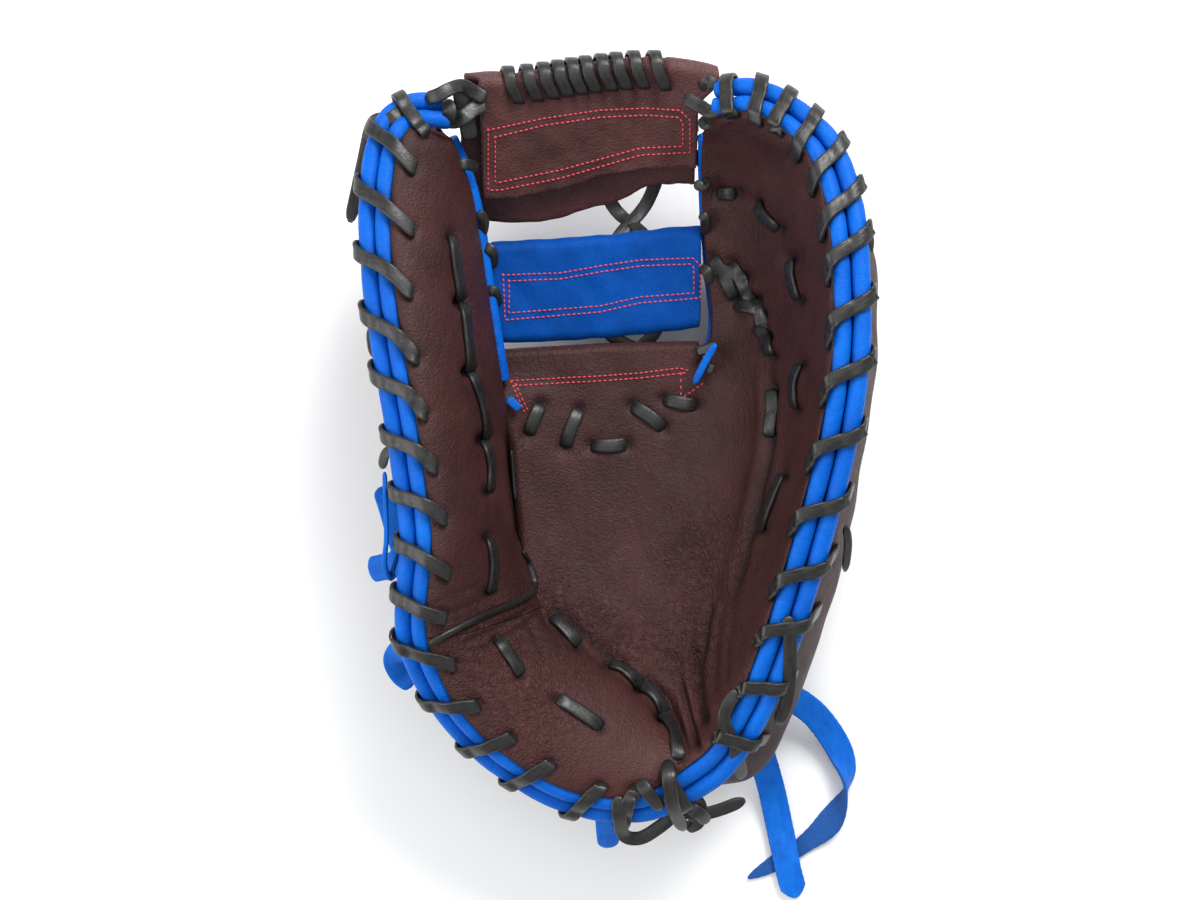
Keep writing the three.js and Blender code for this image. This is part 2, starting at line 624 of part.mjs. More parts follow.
// Frame of a web bar at one place across: lower edge of its front, up along it, and out of it.
function barFrame(table, heights, index) {
  const value = (name) => through(table.map((row) => row[name]), index);
  const lower = table[0].front === undefined ? 'bottom' : 'front';
  const low = place(value('x'), value(lower), heights.bottom - value('sag'));
  const high = place(value('x'), value('top'), heights.top - value('sag'));
  const up = high.clone().sub(low);
  const length = up.length();
  up.normalize();
  const out = new THREE.Vector3(0, -up.z, up.y);
  return { low, up, out, length, value };
}

function barPoint(frame, along, outward) {
  return frame.low.clone().addScaledVector(frame.up, along).addScaledVector(frame.out, outward);
}

const TOP_BAR_RADIUS = BAR_WALL + BAR_HOLLOW / 2;
const SLEEVE_RADIUS = BAR_WALL + SLEEVE_HOLLOW / 2;

function halfTurn(center, radius, first, steps) {
  return range(0, Math.PI, steps).map((angle) => [
    center + radius * Math.sin(first + angle),
    -radius + radius * Math.cos(first + angle),
  ]);
}

function topBarProfile(frame) {
  const r = TOP_BAR_RADIUS;
  const fold = frame.length - r;
  const backEdge = (frame.value('back') - frame.value('front')) * LENGTH;
  const front = range(0, fold, 4).slice(0, -1).map((along) => [along, 0]);
  const back = range(fold, backEdge, 4).slice(1).map((along) => [along, -2 * r]);
  return [...front, ...halfTurn(fold, r, 0, 4), ...back];
}

function sleeveProfile(frame) {
  const r = SLEEVE_RADIUS;
  const fold = frame.length - r;
  const front = range(r, fold, 3).slice(1, -1).map((along) => [along, 0]);
  const back = range(fold, r, 3).slice(1, -1).map((along) => [along, -2 * r]);
  return [...front, ...halfTurn(fold, r, 0, 3), ...back, ...halfTurn(r, r, Math.PI, 3), front[0]];
}

function addBar(name, table, heights, profile, color) {
  const grid = range(0, table.length - 1, 2 * table.length - 2).map((index) => {
    const frame = barFrame(table, heights, index);
    return profile(frame).map(([along, outward]) => ({
      point: barPoint(frame, along, outward),
      thick: BAR_WALL,
    }));
  });
  addPiece(name, wallGeometry([grid]), color, 0.5);
}

const BARS = {
  top: { table: TOP_BAR, heights: TOP_BAR_Z, radius: TOP_BAR_RADIUS },
  middle: { table: MIDDLE_BAR, heights: MIDDLE_BAR_Z, radius: SLEEVE_RADIUS },
};

function barIndex(table, x) {
  let index = 0;
  while (index < table.length - 2 && x > table[index + 1].x) {
    index += 1;
  }
  return index + (x - table[index].x) / (table[index + 1].x - table[index].x);
}

function addLace(name, path, references, color = LACE_BLACK, width = LACE_WIDTH) {
  addPiece(name, sweepGeometry(path, references, flatProfile(width, LACE_THICK)), color, 0.45);
}

const LACE_LIFT = CLEAR + LACE_THICK / 2;
const WRAP_SLACK = 0.5;

// One wrap of rim lacing: palm hole, over both bindings, and down onto the back
function rimLacePath({ palm, back, hole }) {
  const top = BINDING_R + LACE_LIFT + WRAP_SLACK;
  const diagonal = top * Math.SQRT1_2;
  const lift = LACE_LIFT + WRAP_SLACK;
  const onPalm = (u, t) => padPoint(u, t).addScaledVector(surfaceNormal(padPoint, u, t), lift);
  const at = (share) => mix(palm, back, share);
  const path = [
    onPalm(palm, hole),
    onPalm(at(0.2), hole / 2),
    rimPoint(at(0.4), PANEL_EDGE, top - CLEAR),
    rimPoint(at(0.55), BINDING_OFFSET, top),
    rimPoint(at(0.75), -BINDING_OFFSET, top),
    rimPoint(at(0.88), -BINDING_OFFSET - diagonal, diagonal),
    rimPoint(back, -BINDING_OFFSET - top, 0),
  ];
  const table = back < HEEL_STATION ? THUMB_BACK : FINGER_BACK;
  const covered = back >= table[0].at && back <= table[table.length - 1].at;
  if (covered) {
    const surface = (u, t) => backPoint(table, u, t);
    path.push(surface(back, 0.09).addScaledVector(surfaceNormal(surface, back, 0.09), -LACE_LIFT));
  } else {
    path.push(rimPoint(back, -BINDING_OFFSET - diagonal, -diagonal), rimPoint(back, -BINDING_OFFSET, -top));
  }
  return path;
}

function addRimLaces() {
  RIM_LACES.forEach((lace, i) => {
    const path = rimLacePath(lace);
    const references = path.map((_, k) => rimFrame(mix(lace.palm, lace.back, k / (path.length - 1))).along);
    addLace(`rim_lace_${String(i + 1).padStart(2, '0')}`, path, references);
  });
}

function addTopWraps() {
  const r = TOP_BAR_RADIUS;
  const lift = LACE_LIFT + WRAP_SLACK;
  const around = r + lift;
  TOP_WRAPS.forEach((x, i) => {
    const at = (share, along, outward) => {
      const frame = barFrame(TOP_BAR, TOP_BAR_Z, barIndex(TOP_BAR, x + share * TOP_WRAP_SLANT));
      return barPoint(frame, frame.length + along, outward);
    };
    const corner = around * Math.SQRT1_2;
    const path = [
      at(0, -TOP_WRAP_FRONT * LENGTH - r, lift),
      at(0.5, -r, lift),
      at(0.7, -r + corner, -r + corner),
      at(0.85, -r + around, -r),
      at(1, -r + corner, -r - corner),
      at(1.2, -r, -2 * r - lift),
      at(1.5, -TOP_WRAP_BACK * LENGTH, -2 * r - lift),
    ];
    const references = path.map(() => new THREE.Vector3(1, 0, 0));
    addLace(`top_wrap_${String(i + 1).padStart(2, '0')}`, path, references, LACE_BLACK, LACE_WIDTH - 1);
  });
}

function addBarLaces() {
  for (const lace of BAR_LACES) {
    const { table, heights, radius } = BARS[lace.bar];
    const frames = range(0, table.length - 1, 6).map((index) => barFrame(table, heights, index));
    const inside = frames.map((frame) => barPoint(frame, lace.along * frame.length, -radius));
    const overhang = new THREE.Vector3(BAR_LACE_OVERHANG, 0, 0);
    const left = inside[0].clone().sub(overhang);
    const right = inside[inside.length - 1].clone().add(overhang);
    const path = [left, ...inside, right];
    const ups = frames.map((frame) => frame.up);
    addLace(lace.name, path, [ups[0], ...ups, ups[ups.length - 1]]);
  }
}

function addCrossLaces() {
  for (const { name, top, bottom } of CROSS_LACES) {
    const behind = ({ table, heights, radius }, share, along) => {
      const frame = barFrame(table, heights, barIndex(table, mix(top, bottom, share)));
      return barPoint(frame, along * frame.length, -2 * radius - LACE_LIFT - WRAP_SLACK);
    };
    const underEdge = (row, share) => {
      const point = pocketMiddle(row);
      point.x = mix(top, bottom, share) * WIDTH;
      point.z -= PAD_THICK + 2 * LACE_LIFT;
      return point;
    };
    const path = [
      behind(BARS.top, 0, 0.3),
      behind(BARS.top, 0.15, -0.42),
      behind(BARS.middle, 0.4, 0.85),
      behind(BARS.middle, 0.7, 0.1),
      underEdge(0.3, 0.9),
      underEdge(1.4, 1),
    ];
    addLace(name, path, path.map(() => new THREE.Vector3(1, 0, 0)));
  }
}

// Wrist strap across the open heel of the back
function addWristStrap() {
  const height = BACK_THICK + CLEAR + STRAP_THICK / 2;
  const middle = STRAP_MIDDLE * LENGTH;
  const path = range(-STRAP_HALF, STRAP_HALF, 6).map((x) => new THREE.Vector3(x, middle, height));
  const references = path.map(() => new THREE.Vector3(0, 1, 0));
  const strap = sweepGeometry(path, references, flatProfile(STRAP_WIDTH, STRAP_THICK));
  addPiece('wrist_strap', strap, LEATHER_BROWN, 0.55);
}

// Blue tie knotted round the thumb side's rim
function addTieKnot() {
  const outside = BINDING_OFFSET + BINDING_R + 4 * LACE_LIFT;
  const path = [
    rimPoint(7.0, -outside, -2),
    rimPoint(7.5, -outside - 0.5, 0),
    rimPoint(8.0, -outside - 1, 1),
    rimPoint(8.4, -outside - 2, 0),
    rimPoint(8.6, -outside - 2, -5),
    rimPoint(8.3, -outside - 2, -9),
  ];
  addLace('tie_knot', path, path.map(() => new THREE.Vector3(0, 0, 1)), LEATHER_BLUE);
}

function addTie(name, points) {
  const route = points.map(([x, y, z]) => new THREE.Vector3(x * WIDTH, y * LENGTH, z));
  const steps = range(0, route.length - 1, 3 * (route.length - 1));
  const path = steps.map((index) => throughPoints(route, index));
  const references = path.map((point, i) => {
    const before = path[Math.max(0, i - 1)];
    const after = path[Math.min(path.length - 1, i + 1)];
    return new THREE.Vector3(before.y - after.y, after.x - before.x, 0).normalize();
  });
  const strap = sweepGeometry(path, references, flatProfile(TIE_WIDTH, TIE_THICK));
  addPiece(name, strap, LEATHER_BLUE, 0.4);
}

addThumbPad();
addPalm();
addBack('thumb_back', THUMB_BACK, 18);
addBack('finger_back', FINGER_BACK, 28);
addWristStrap();
addRimBinding('palm_binding', 1);
addRimBinding('back_binding', -1);
addInnerBinding('thumb_inner_binding', INNER_EDGES.thumb);
addInnerBinding('finger_inner_binding', INNER_EDGES.finger);
addBar('web_top_bar', TOP_BAR, TOP_BAR_Z, topBarProfile, LEATHER_BROWN);
addBar('web_middle_bar', MIDDLE_BAR, MIDDLE_BAR_Z, sleeveProfile, WEB_BLUE);
addBarLaces();
addCrossLaces();
addTopWraps();
addRimLaces();
addTieKnot();

// The origin is the middle of the mitt's box at the resting surface; the tie ends lie outside it
const box = new THREE.Box3().setFromObject(mitt);
const center = box.getCenter(new THREE.Vector3());
addTie('tie_end_outer', TIE_OUTER);
addTie('tie_end_inner', TIE_INNER);
for (const piece of mitt.children) {
  piece.position.set(-center.x, -center.y, -box.min.z);
}

export default mitt;
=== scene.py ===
# First baseman mitt of brown leather with blue bindings and black lacing, lying on its back.
# Sizes are in millimetres in the mitt's own frame, +Z up out of the pocket and +Y toward the web,
# and turn into metres where a mesh is made.
import math
import bpy
import numpy as np
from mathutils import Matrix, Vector
from mathutils.bvhtree import BVHTree


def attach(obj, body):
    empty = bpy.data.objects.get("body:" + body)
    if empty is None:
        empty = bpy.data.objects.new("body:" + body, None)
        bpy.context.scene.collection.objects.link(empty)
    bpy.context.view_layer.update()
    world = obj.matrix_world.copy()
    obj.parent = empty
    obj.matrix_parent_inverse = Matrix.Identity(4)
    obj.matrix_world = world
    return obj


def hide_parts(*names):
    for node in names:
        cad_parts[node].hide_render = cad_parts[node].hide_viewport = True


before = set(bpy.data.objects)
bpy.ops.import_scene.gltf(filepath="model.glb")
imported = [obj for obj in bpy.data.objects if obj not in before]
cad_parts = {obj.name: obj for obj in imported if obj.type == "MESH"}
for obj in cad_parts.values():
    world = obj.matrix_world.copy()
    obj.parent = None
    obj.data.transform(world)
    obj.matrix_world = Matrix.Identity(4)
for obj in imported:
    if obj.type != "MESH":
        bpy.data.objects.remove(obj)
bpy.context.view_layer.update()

WIDTH, LENGTH, DEPTH = 206.0, 316.0, 118.0
SIZE = np.array((WIDTH, LENGTH, DEPTH))
SHIFT = np.array((0.064, -163.899, 0.0))

PAD_THICK, PAD_EDGE_THICK, HEEL_EXTRA, GROOVE_THICK, BACK_THICK = 10.0, 4.5, 10.0, 5.0, 3.0
CLEAR = 0.4
BINDING_R, INNER_BINDING_R = 3.8, 2.9
BINDING_OFFSET = BINDING_R + CLEAR / 2
PANEL_EDGE = BINDING_OFFSET + BINDING_R + CLEAR
LACE_WIDTH, LACE_THICK = 5.8, 1.8
LACE_LIFT, WRAP_SLACK = CLEAR + 0.9, 0.5
BAR_WALL = 2.4
TOP_BAR_R, SLEEVE_R = 2.4 + 4.5 / 2, 2.4 + 4.0 / 2
UP = np.array((0.0, 0.0, 1.0))

# Rim stations from the thumb tip down to the heel and up to the finger tip: middle of the pair of
# bindings, foot of the pad, how far the pad stands off near the rim and near the foot, and the roll.
RIM = np.array((
    (-0.346, 0.947, 0.712, -0.345, 0.924, 0.627, 0.03, 0.03, 18),
    (-0.417, 0.942, 0.763, -0.332, 0.904, 0.593, 0.07, 0.06, 20),
    (-0.460, 0.906, 0.822, -0.315, 0.877, 0.559, 0.09, 0.10, 24),
    (-0.477, 0.819, 0.864, -0.293, 0.822, 0.525, 0.10, 0.12, 27),
    (-0.468, 0.716, 0.898, -0.270, 0.720, 0.483, 0.11, 0.13, 28),
    (-0.444, 0.614, 0.907, -0.246, 0.620, 0.441, 0.11, 0.13, 28),
    (-0.428, 0.555, 0.907, -0.235, 0.567, 0.398, 0.11, 0.12, 28),
    (-0.411, 0.481, 0.898, -0.221, 0.486, 0.373, 0.11, 0.11, 28),
    (-0.396, 0.392, 0.881, -0.205, 0.391, 0.364, 0.11, 0.11, 28),
    (-0.408, 0.299, 0.839, -0.173, 0.316, 0.373, 0.10, 0.11, 30),
    (-0.399, 0.245, 0.780, -0.146, 0.275, 0.400, 0.08, 0.12, 36),
    (-0.348, 0.175, 0.703, -0.070, 0.235, 0.415, 0.10, 0.15, 46),
    (-0.252, 0.105, 0.636, -0.004, 0.203, 0.441, 0.11, 0.15, 48),
    (-0.106, 0.048, 0.593, 0.053, 0.170, 0.475, 0.11, 0.13, 46),
    (0.042, 0.037, 0.593, 0.100, 0.137, 0.530, 0.08, 0.08, 36),
    (0.165, 0.077, 0.619, 0.142, 0.112, 0.610, 0.03, 0.02, 16),
    (0.222, 0.117, 0.669, 0.169, 0.144, 0.540, 0.03, 0.03, 16),
    (0.267, 0.171, 0.729, 0.174, 0.183, 0.462, 0.04, 0.00, 14),
    (0.294, 0.216, 0.771, 0.167, 0.222, 0.432, 0.04, -0.04, 10),
    (0.322, 0.269, 0.814, 0.157, 0.271, 0.407, 0.04, -0.10, 6),
    (0.351, 0.334, 0.864, 0.155, 0.331, 0.386, 0.04, -0.16, 3),
    (0.383, 0.411, 0.915, 0.160, 0.405, 0.373, 0.04, -0.21, 3),
    (0.418, 0.504, 0.958, 0.168, 0.500, 0.364, 0.04, -0.25, 3),
    (0.439, 0.588, 0.992, 0.175, 0.567, 0.364, 0.04, -0.26, 3),
    (0.447, 0.663, 1.000, 0.170, 0.606, 0.373, 0.04, -0.26, 3),
    (0.445, 0.720, 1.000, 0.196, 0.672, 0.390, 0.04, -0.24, 3),
    (0.441, 0.770, 0.992, 0.186, 0.748, 0.415, 0.04, -0.22, 4),
    (0.429, 0.828, 0.966, 0.176, 0.824, 0.458, 0.04, -0.18, 6),
    (0.397, 0.889, 0.924, 0.172, 0.876, 0.508, 0.04, -0.12, 10),
    (0.335, 0.933, 0.864, 0.171, 0.902, 0.559, 0.05, -0.05, 15),
    (0.267, 0.960, 0.805, 0.170, 0.916, 0.593, 0.05, 0.00, 18),
    (0.192, 0.962, 0.737, 0.166, 0.926, 0.619, 0.05, 0.00, 18),
))
LAST_STATION = len(RIM) - 1
THUMB_FIRST, THUMB_LAST, FINGER_LAST = 0.35, 9.5, 30.4
POCKET_FIRST, HEEL_STATION, FREE_EDGE_FINGER = 6, 15, 24

# Backs: station, belly, belly_z, keel, keel_z, end, end_z
THUMB_BACK = np.array((
    (0.8, 0.012, 0.62, 0.045, 0.53, 0.075, 0.530),
    (2, 0.010, 0.62, 0.075, 0.44, 0.143, 0.481),
    (3, 0.008, 0.58, 0.090, 0.32, 0.180, 0.447),
    (4, 0.008, 0.54, 0.105, 0.20, 0.193, 0.400),
    (5, 0.010, 0.50, 0.115, 0.09, 0.190, 0.290),
    (6, 0.012, 0.46, 0.125, 0.03, 0.230, 0.150),
    (7, 0.015, 0.42, 0.135, -0.015, 0.275, 0.010),
    (8, 0.017, 0.40, 0.140, -0.025, 0.280, -0.020),
    (9, 0.012, 0.40, 0.145, -0.025, 0.285, -0.020),
    (10.3, 0.004, 0.40, 0.135, -0.020, 0.270, -0.020),
))
FINGER_BACK = np.array((
    (15.1, 0.045, 0.40, 0.050, -0.010, 0.120, -0.020),
    (15.6, 0.085, 0.38, 0.060, -0.010, 0.130, -0.020),
    (16.2, 0.100, 0.38, 0.075, -0.010, 0.150, -0.020),
    (17, 0.100, 0.38, 0.090, -0.020, 0.175, -0.020),
    (18, 0.100, 0.40, 0.100, -0.025, 0.200, -0.020),
    (19, 0.100, 0.42, 0.115, -0.025, 0.220, -0.020),
    (20, 0.100, 0.44, 0.130, -0.025, 0.248, -0.020),
    (21, 0.095, 0.46, 0.140, -0.025, 0.280, -0.020),
    (22, 0.080, 0.48, 0.150, -0.020, 0.300, 0.000),
    (23, 0.082, 0.50, 0.155, -0.005, 0.280, 0.120),
    (24, 0.082, 0.51, 0.150, 0.010, 0.290, 0.262),
    (25, 0.082, 0.52, 0.140, 0.040, 0.257, 0.268),
    (26, 0.072, 0.53, 0.135, 0.090, 0.252, 0.300),
    (27, 0.045, 0.56, 0.130, 0.180, 0.250, 0.342),
    (28, 0.022, 0.60, 0.115, 0.290, 0.223, 0.362),
    (29, 0.010, 0.64, 0.090, 0.420, 0.182, 0.408),
    (30.1, 0.010, 0.62, 0.060, 0.480, 0.115, 0.455),
))

POCKET_TOP = {
    "left": np.array(((-0.244, 0.633, 0.362), (-0.240, 0.603, 0.360))),
    "middle": np.array(((-0.039, 0.640, 0.362), (-0.039, 0.606, 0.352))),
    "right": np.array(((0.158, 0.644, 0.376), (0.157, 0.621, 0.372))),
}
POCKET_MIDDLE = np.array((
    (-0.039, 0.574, 0.345), (-0.028, 0.493, 0.339), (-0.016, 0.418, 0.331), (-0.001, 0.344, 0.331),
    (0.023, 0.276, 0.350), (0.054, 0.224, 0.373), (0.083, 0.184, 0.403), (0.110, 0.152, 0.441),
    (0.130, 0.128, 0.510),
))

# Web bars: x, top edge, lower edge of the front, lower edge of the back, sag
TOP_BAR = np.array((
    (-0.275, 0.990, 0.842, 0.803, 0.000), (-0.218, 0.994, 0.845, 0.799, 0.015),
    (-0.148, 1.000, 0.853, 0.800, 0.028), (-0.079, 1.007, 0.865, 0.814, 0.035),
    (-0.009, 1.012, 0.878, 0.824, 0.035), (0.061, 1.014, 0.883, 0.846, 0.028),
    (0.115, 1.008, 0.886, 0.848, 0.018), (0.155, 0.998, 0.884, 0.845, 0.008),
))
MIDDLE_BAR = np.array((
    (-0.240, 0.784, 0.649, 0.649, 0.000), (-0.162, 0.788, 0.651, 0.651, 0.015),
    (-0.080, 0.792, 0.654, 0.654, 0.025), (0.002, 0.797, 0.658, 0.658, 0.025),
    (0.084, 0.803, 0.664, 0.664, 0.015), (0.148, 0.806, 0.671, 0.671, 0.000),
))
BARS = {
    "top": {"rows": TOP_BAR, "high": 0.705, "low": 0.475, "radius": TOP_BAR_R, "open": 1,
            "flare": (0.5, 8.5)},
    "middle": {"rows": MIDDLE_BAR, "high": 0.440, "low": 0.380, "radius": SLEEVE_R, "open": 0,
               "flare": (4.5, 3.6)},
}

# Rim lacing: station of each wrap's hole in the palm, of its end on the back, and how far down the
# pad the hole is
RIM_LACES = (
    (1.45, 0.98, 0.18), (2.49, 1.81, 0.20), (3.39, 2.65, 0.20), (4.15, 3.49, 0.14), (4.95, 4.21, 0.10),
    (6.11, 4.95, 0.09), (6.99, 6.29, 0.11), (7.71, 7.23, 0.13), (8.37, 8.00, 0.17), (9.01, 8.71, 0.17),
    (10.25, 9.61, 0.17), (11.11, 10.77, 0.16), (11.85, 11.65, 0.18), (12.51, 12.31, 0.18),
    (13.36, 13.05, 0.14), (13.95, 13.70, 0.10), (14.62, 14.55, 0.10), (16.15, 16.40, 0.06),
    (17.40, 17.95, 0.06), (18.75, 19.49, 0.06), (19.75, 20.55, 0.08), (20.85, 21.49, 0.06),
    (21.73, 22.43, 0.06), (22.71, 23.51, 0.06), (23.67, 24.73, 0.06), (25.01, 26.29, 0.07),
    (26.15, 27.19, 0.14), (27.19, 28.01, 0.17), (28.05, 28.69, 0.21), (28.87, 29.37, 0.09),
    (29.43, 30.03, 0.17), (30.45, 30.69, 0.06),
)
TOP_WRAPS = (-0.202, -0.164, -0.132, -0.103, -0.075, -0.047, -0.015, 0.015, 0.049, 0.091)
TOP_WRAP_SLANT, TOP_WRAP_FRONT, TOP_WRAP_BACK = -0.024, 0.022, 0.050
CROSS_LACES = (
    ("web_cross_lace_left", (-0.075, -0.012, 0.062, 0.085, 0.020, -0.010)),
    ("web_cross_lace_right", (0.115, 0.062, -0.012, -0.030, 0.085, 0.110)),
)

# Free blue tie ends: x and y in shares, z in millimetres, and the turn of the strap in degrees
TIE_OUTER = np.array((
    (0.302, 0.089, 19.0, 0), (0.328, 0.034, 7.0, 0), (0.345, -0.015, 3.8, 0), (0.356, -0.050, 4.2, 0),
    (0.367, -0.085, 4.2, 0), (0.383, -0.121, 3.0, 0),
))
TIE_INNER = np.array((
    (0.347, 0.173, 21.5, 0), (0.420, 0.138, 12.0, 0), (0.477, 0.084, 5.6, 20), (0.491, 0.037, 6.6, 75),
    (0.456, -0.014, 3.6, 150), (0.399, -0.048, 1.4, 180), (0.335, -0.075, 1.4, 180),
    (0.280, -0.095, 1.4, 180),
))

# Places on the front of the mitt are stated on a plan of 1200 by 900 that looks down on the pocket
# from EYE; a place on the plan is dropped straight down that line onto the leather.
EYE = np.array((-8.0, 160.0, 1100.0))
PLAN_REACH = 2475.0
PLAN_STEPS = 6
PLAN_WIDE, PLAN_MIDDLE_X, PLAN_MIDDLE_Y = 1200, 600, 450
SENSOR_WIDE = 36.0


def unit(vectors):
    length = np.linalg.norm(vectors, axis=-1, keepdims=True)
    return vectors / np.maximum(length, 1e-9)


def dot(a, b):
    return np.sum(a * b, axis=-1, keepdims=True)


def smooth(start, stop, value):
    """Soft step from 0 at start to 1 at stop."""
    t = np.clip((value - start) / (stop - start), 0, 1)
    return t * t * (3 - 2 * t)


def between(a, b, c, d, f):
    """Smooth run from b to c, with a before them and d after."""
    return b + 0.5 * f * (c - a + f * (2 * a - 5 * b + 4 * c - d + f * (3 * b - a - 3 * c + d)))


def through(rows, index):
    """Smooth run through rows of numbers at fractional indices."""
    rows = np.asarray(rows, float)
    index = np.asarray(index, float)
    last = len(rows) - 1
    i = np.clip(np.floor(index).astype(int), 0, last - 1)
    b, c = rows[i], rows[i + 1]
    a = np.where((i > 0)[..., None], rows[np.maximum(i - 1, 0)], 2 * b - c)
    d = np.where((i + 2 <= last)[..., None], rows[np.minimum(i + 2, last)], 2 * c - b)
    return between(a, b, c, d, (index - i)[..., None])


def rim_middle(u):
    return through(RIM, u)[..., :3] * SIZE


def foot_of_pad(u):
    return through(RIM, u)[..., 3:6] * SIZE


def rim_frame(u):
    """Middle of the pair of bindings at a station, and the directions along, across and out of the rim."""
    u = np.asarray(u, float)
    along = unit(rim_middle(u + 0.02) - rim_middle(u - 0.02))
    inward = unit(np.stack((-along[..., 1], along[..., 0], np.zeros_like(along[..., 0])), -1))
    roll = np.radians(through(RIM, u)[..., 8:9])
    side = inward * np.cos(roll) + UP * np.sin(roll)
    side = unit(side - dot(side, along) * along)
    return rim_middle(u), along, side, unit(np.cross(along, side))


def rim_point(u, toward, outward):
    middle, _, side, out = rim_frame(u)
    toward = np.asarray(toward, float)[..., None]
    outward = np.asarray(outward, float)[..., None]
    return middle + side * toward + out * outward


def pad_point(u, t):
    """Outer face of the pads: t runs from the rim at 0 to the foot of the pad at 1."""
    u, t = np.broadcast_arrays(np.asarray(u, float), np.asarray(t, float))
    stand = through(RIM, u)[..., 6:8] * DEPTH
    start = rim_point(u, PANEL_EDGE, PAD_EDGE_THICK / 2)
    foot = foot_of_pad(u)
    chord = foot - start
    level = np.hypot(chord[..., 0], chord[..., 1])
    normal = unit(np.stack((-chord[..., 0] * chord[..., 2] / level,
                            -chord[..., 1] * chord[..., 2] / level, level), -1))
    first = rim_point(u, PANEL_EDGE + stand[..., 0], PAD_EDGE_THICK / 2)
    second = start + 0.75 * chord + normal * stand[..., 1:2]
    t = t[..., None]
    rest = 1 - t
    return start * rest ** 3 + 3 * first * rest ** 2 * t + 3 * second * rest * t ** 2 + foot * t ** 3


def normal_of(surface, u, t):
    step = 0.02
    along = surface(u + step, t) - surface(u - step, t)
    across = surface(u, t + step) - surface(u, np.maximum(t - step, 0))
    return unit(np.cross(along, across))


def floor_thickness(u):
    return GROOVE_THICK + (PAD_THICK - GROOVE_THICK) * smooth(0, 2.5, np.abs(u - HEEL_STATION))


def pad_thickness(u, t):
    heel = HEEL_EXTRA * smooth(9.5, 11.5, u) * (1 - smooth(13.5, 15, u))
    body = floor_thickness(u) + heel * np.sin(np.pi * np.clip(t, 0, 1))
    free = (u < POCKET_FIRST) | (u > FREE_EDGE_FINGER)
    edge = np.where(free, PAD_EDGE_THICK, floor_thickness(u))
    rim_side = PAD_EDGE_THICK + (body - PAD_EDGE_THICK) * smooth(0, 0.3, t)
    return rim_side + (edge - rim_side) * smooth(0.7, 1, t)


def pocket_edge(row, side):
    first, step = (POCKET_FIRST, 1) if side == "left" else (FREE_EDGE_FINGER, -1)
    tops = np.concatenate((POCKET_TOP[side] * SIZE, foot_of_pad(np.array((first, first + step)))))
    lower = foot_of_pad(first + step * (row - 2))
    return np.where((row >= 2)[..., None], lower, through(tops, row))


def pocket_point(row, across):
    """Face of the pocket floor: row runs from the web to the heel, across from thumb to finger side."""
    row, across = np.broadcast_arrays(np.asarray(row, float), np.asarray(across, float))
    run = np.concatenate((POCKET_TOP["middle"], POCKET_MIDDLE)) * SIZE
    run = np.concatenate((run, foot_of_pad(np.array((HEEL_STATION,)))))
    middle = through(run, row)
    edge = np.where((across < 0)[..., None], pocket_edge(row, "left"), pocket_edge(row, "right"))
    share = np.abs(across)[..., None]
    point = middle + (edge - middle) * share
    point[..., 2] = (middle + (edge - middle) * share ** 2)[..., 2]
    return point


def back_point(rows, u, t):
    """Inner face of a back: t runs from the rim at 0, round the belly, to its inner edge at 1."""
    u, t = np.broadcast_arrays(np.asarray(u, float), np.asarray(t, float))
    value = through(rows, np.interp(u, rows[:, 0], np.arange(len(rows))))
    rim = rim_middle(u)
    inward = foot_of_pad(u) - rim
    inward[..., 2] = 0
    inward = unit(inward)

    def at(distance, height):
        point = rim + inward * distance[..., None] * WIDTH
        point[..., 2] = height * DEPTH
        return point

    start = rim_point(u, -BINDING_OFFSET * 1.3, -BINDING_R - CLEAR)
    belly = at(-value[..., 1], value[..., 2])
    keel = at(value[..., 3], value[..., 4])
    end = at(value[..., 5], value[..., 6])
    hip = (belly + keel) / 2
    hip[..., 2] = belly[..., 2] + 0.72 * (keel[..., 2] - belly[..., 2])
    hip = hip - 0.10 * inward * np.linalg.norm(belly - keel, axis=-1, keepdims=True)
    stack = np.stack((start, belly, hip, keel, end))
    spread = np.broadcast_to(np.arange(5).reshape((5,) + (1,) * t.ndim), (5,) + t.shape)
    i = np.clip(np.floor(4 * t).astype(int), 0, 3)

    def pick(which):
        return np.sum(np.where((spread == which)[..., None], stack, 0), axis=0)

    b, c = pick(i), pick(i + 1)
    a = np.where((i > 0)[..., None], pick(np.maximum(i - 1, 0)), 2 * b - c)
    d = np.where((i < 3)[..., None], pick(np.minimum(i + 2, 4)), 2 * c - b)
    point = between(a, b, c, d, (4 * t - i)[..., None])
    point[..., 2] = np.maximum(0, point[..., 2])
    return point


def bar_frame(bar, index):
    """Lower edge of a bar's front at an index, its upward and outward directions, its height, and how far
    below that edge its back ends."""
    value = through(bar["rows"], index)
    low = np.stack((value[..., 0] * WIDTH, value[..., 2] * LENGTH, (bar["low"] - value[..., 4]) * DEPTH), -1)
    high = np.stack((value[..., 0] * WIDTH, value[..., 1] * LENGTH, (bar["high"] - value[..., 4]) * DEPTH), -1)
    up = unit(high - low)
    out = np.stack((np.zeros_like(up[..., 0]), -up[..., 2], up[..., 1]), -1)
    return low, up, out, np.linalg.norm(high - low, axis=-1), (value[..., 3] - value[..., 2]) * LENGTH


def bar_point(bar, index, along, outward):
    low, up, out, _, _ = bar_frame(bar, index)
    return low + up * np.asarray(along, float)[..., None] + out * np.asarray(outward, float)[..., None]


def bar_index(bar, x):
    return np.interp(x, bar["rows"][:, 0], np.arange(len(bar["rows"])))


def plan_of(points):
    """Place on the plan of points of the mitt."""
    reach = PLAN_REACH / (EYE[2] - points[..., 2])
    return PLAN_MIDDLE_X + (points[..., 0] - EYE[0]) * reach, PLAN_MIDDLE_Y - (points[..., 1] - EYE[1]) * reach


# ---- Meshes ----

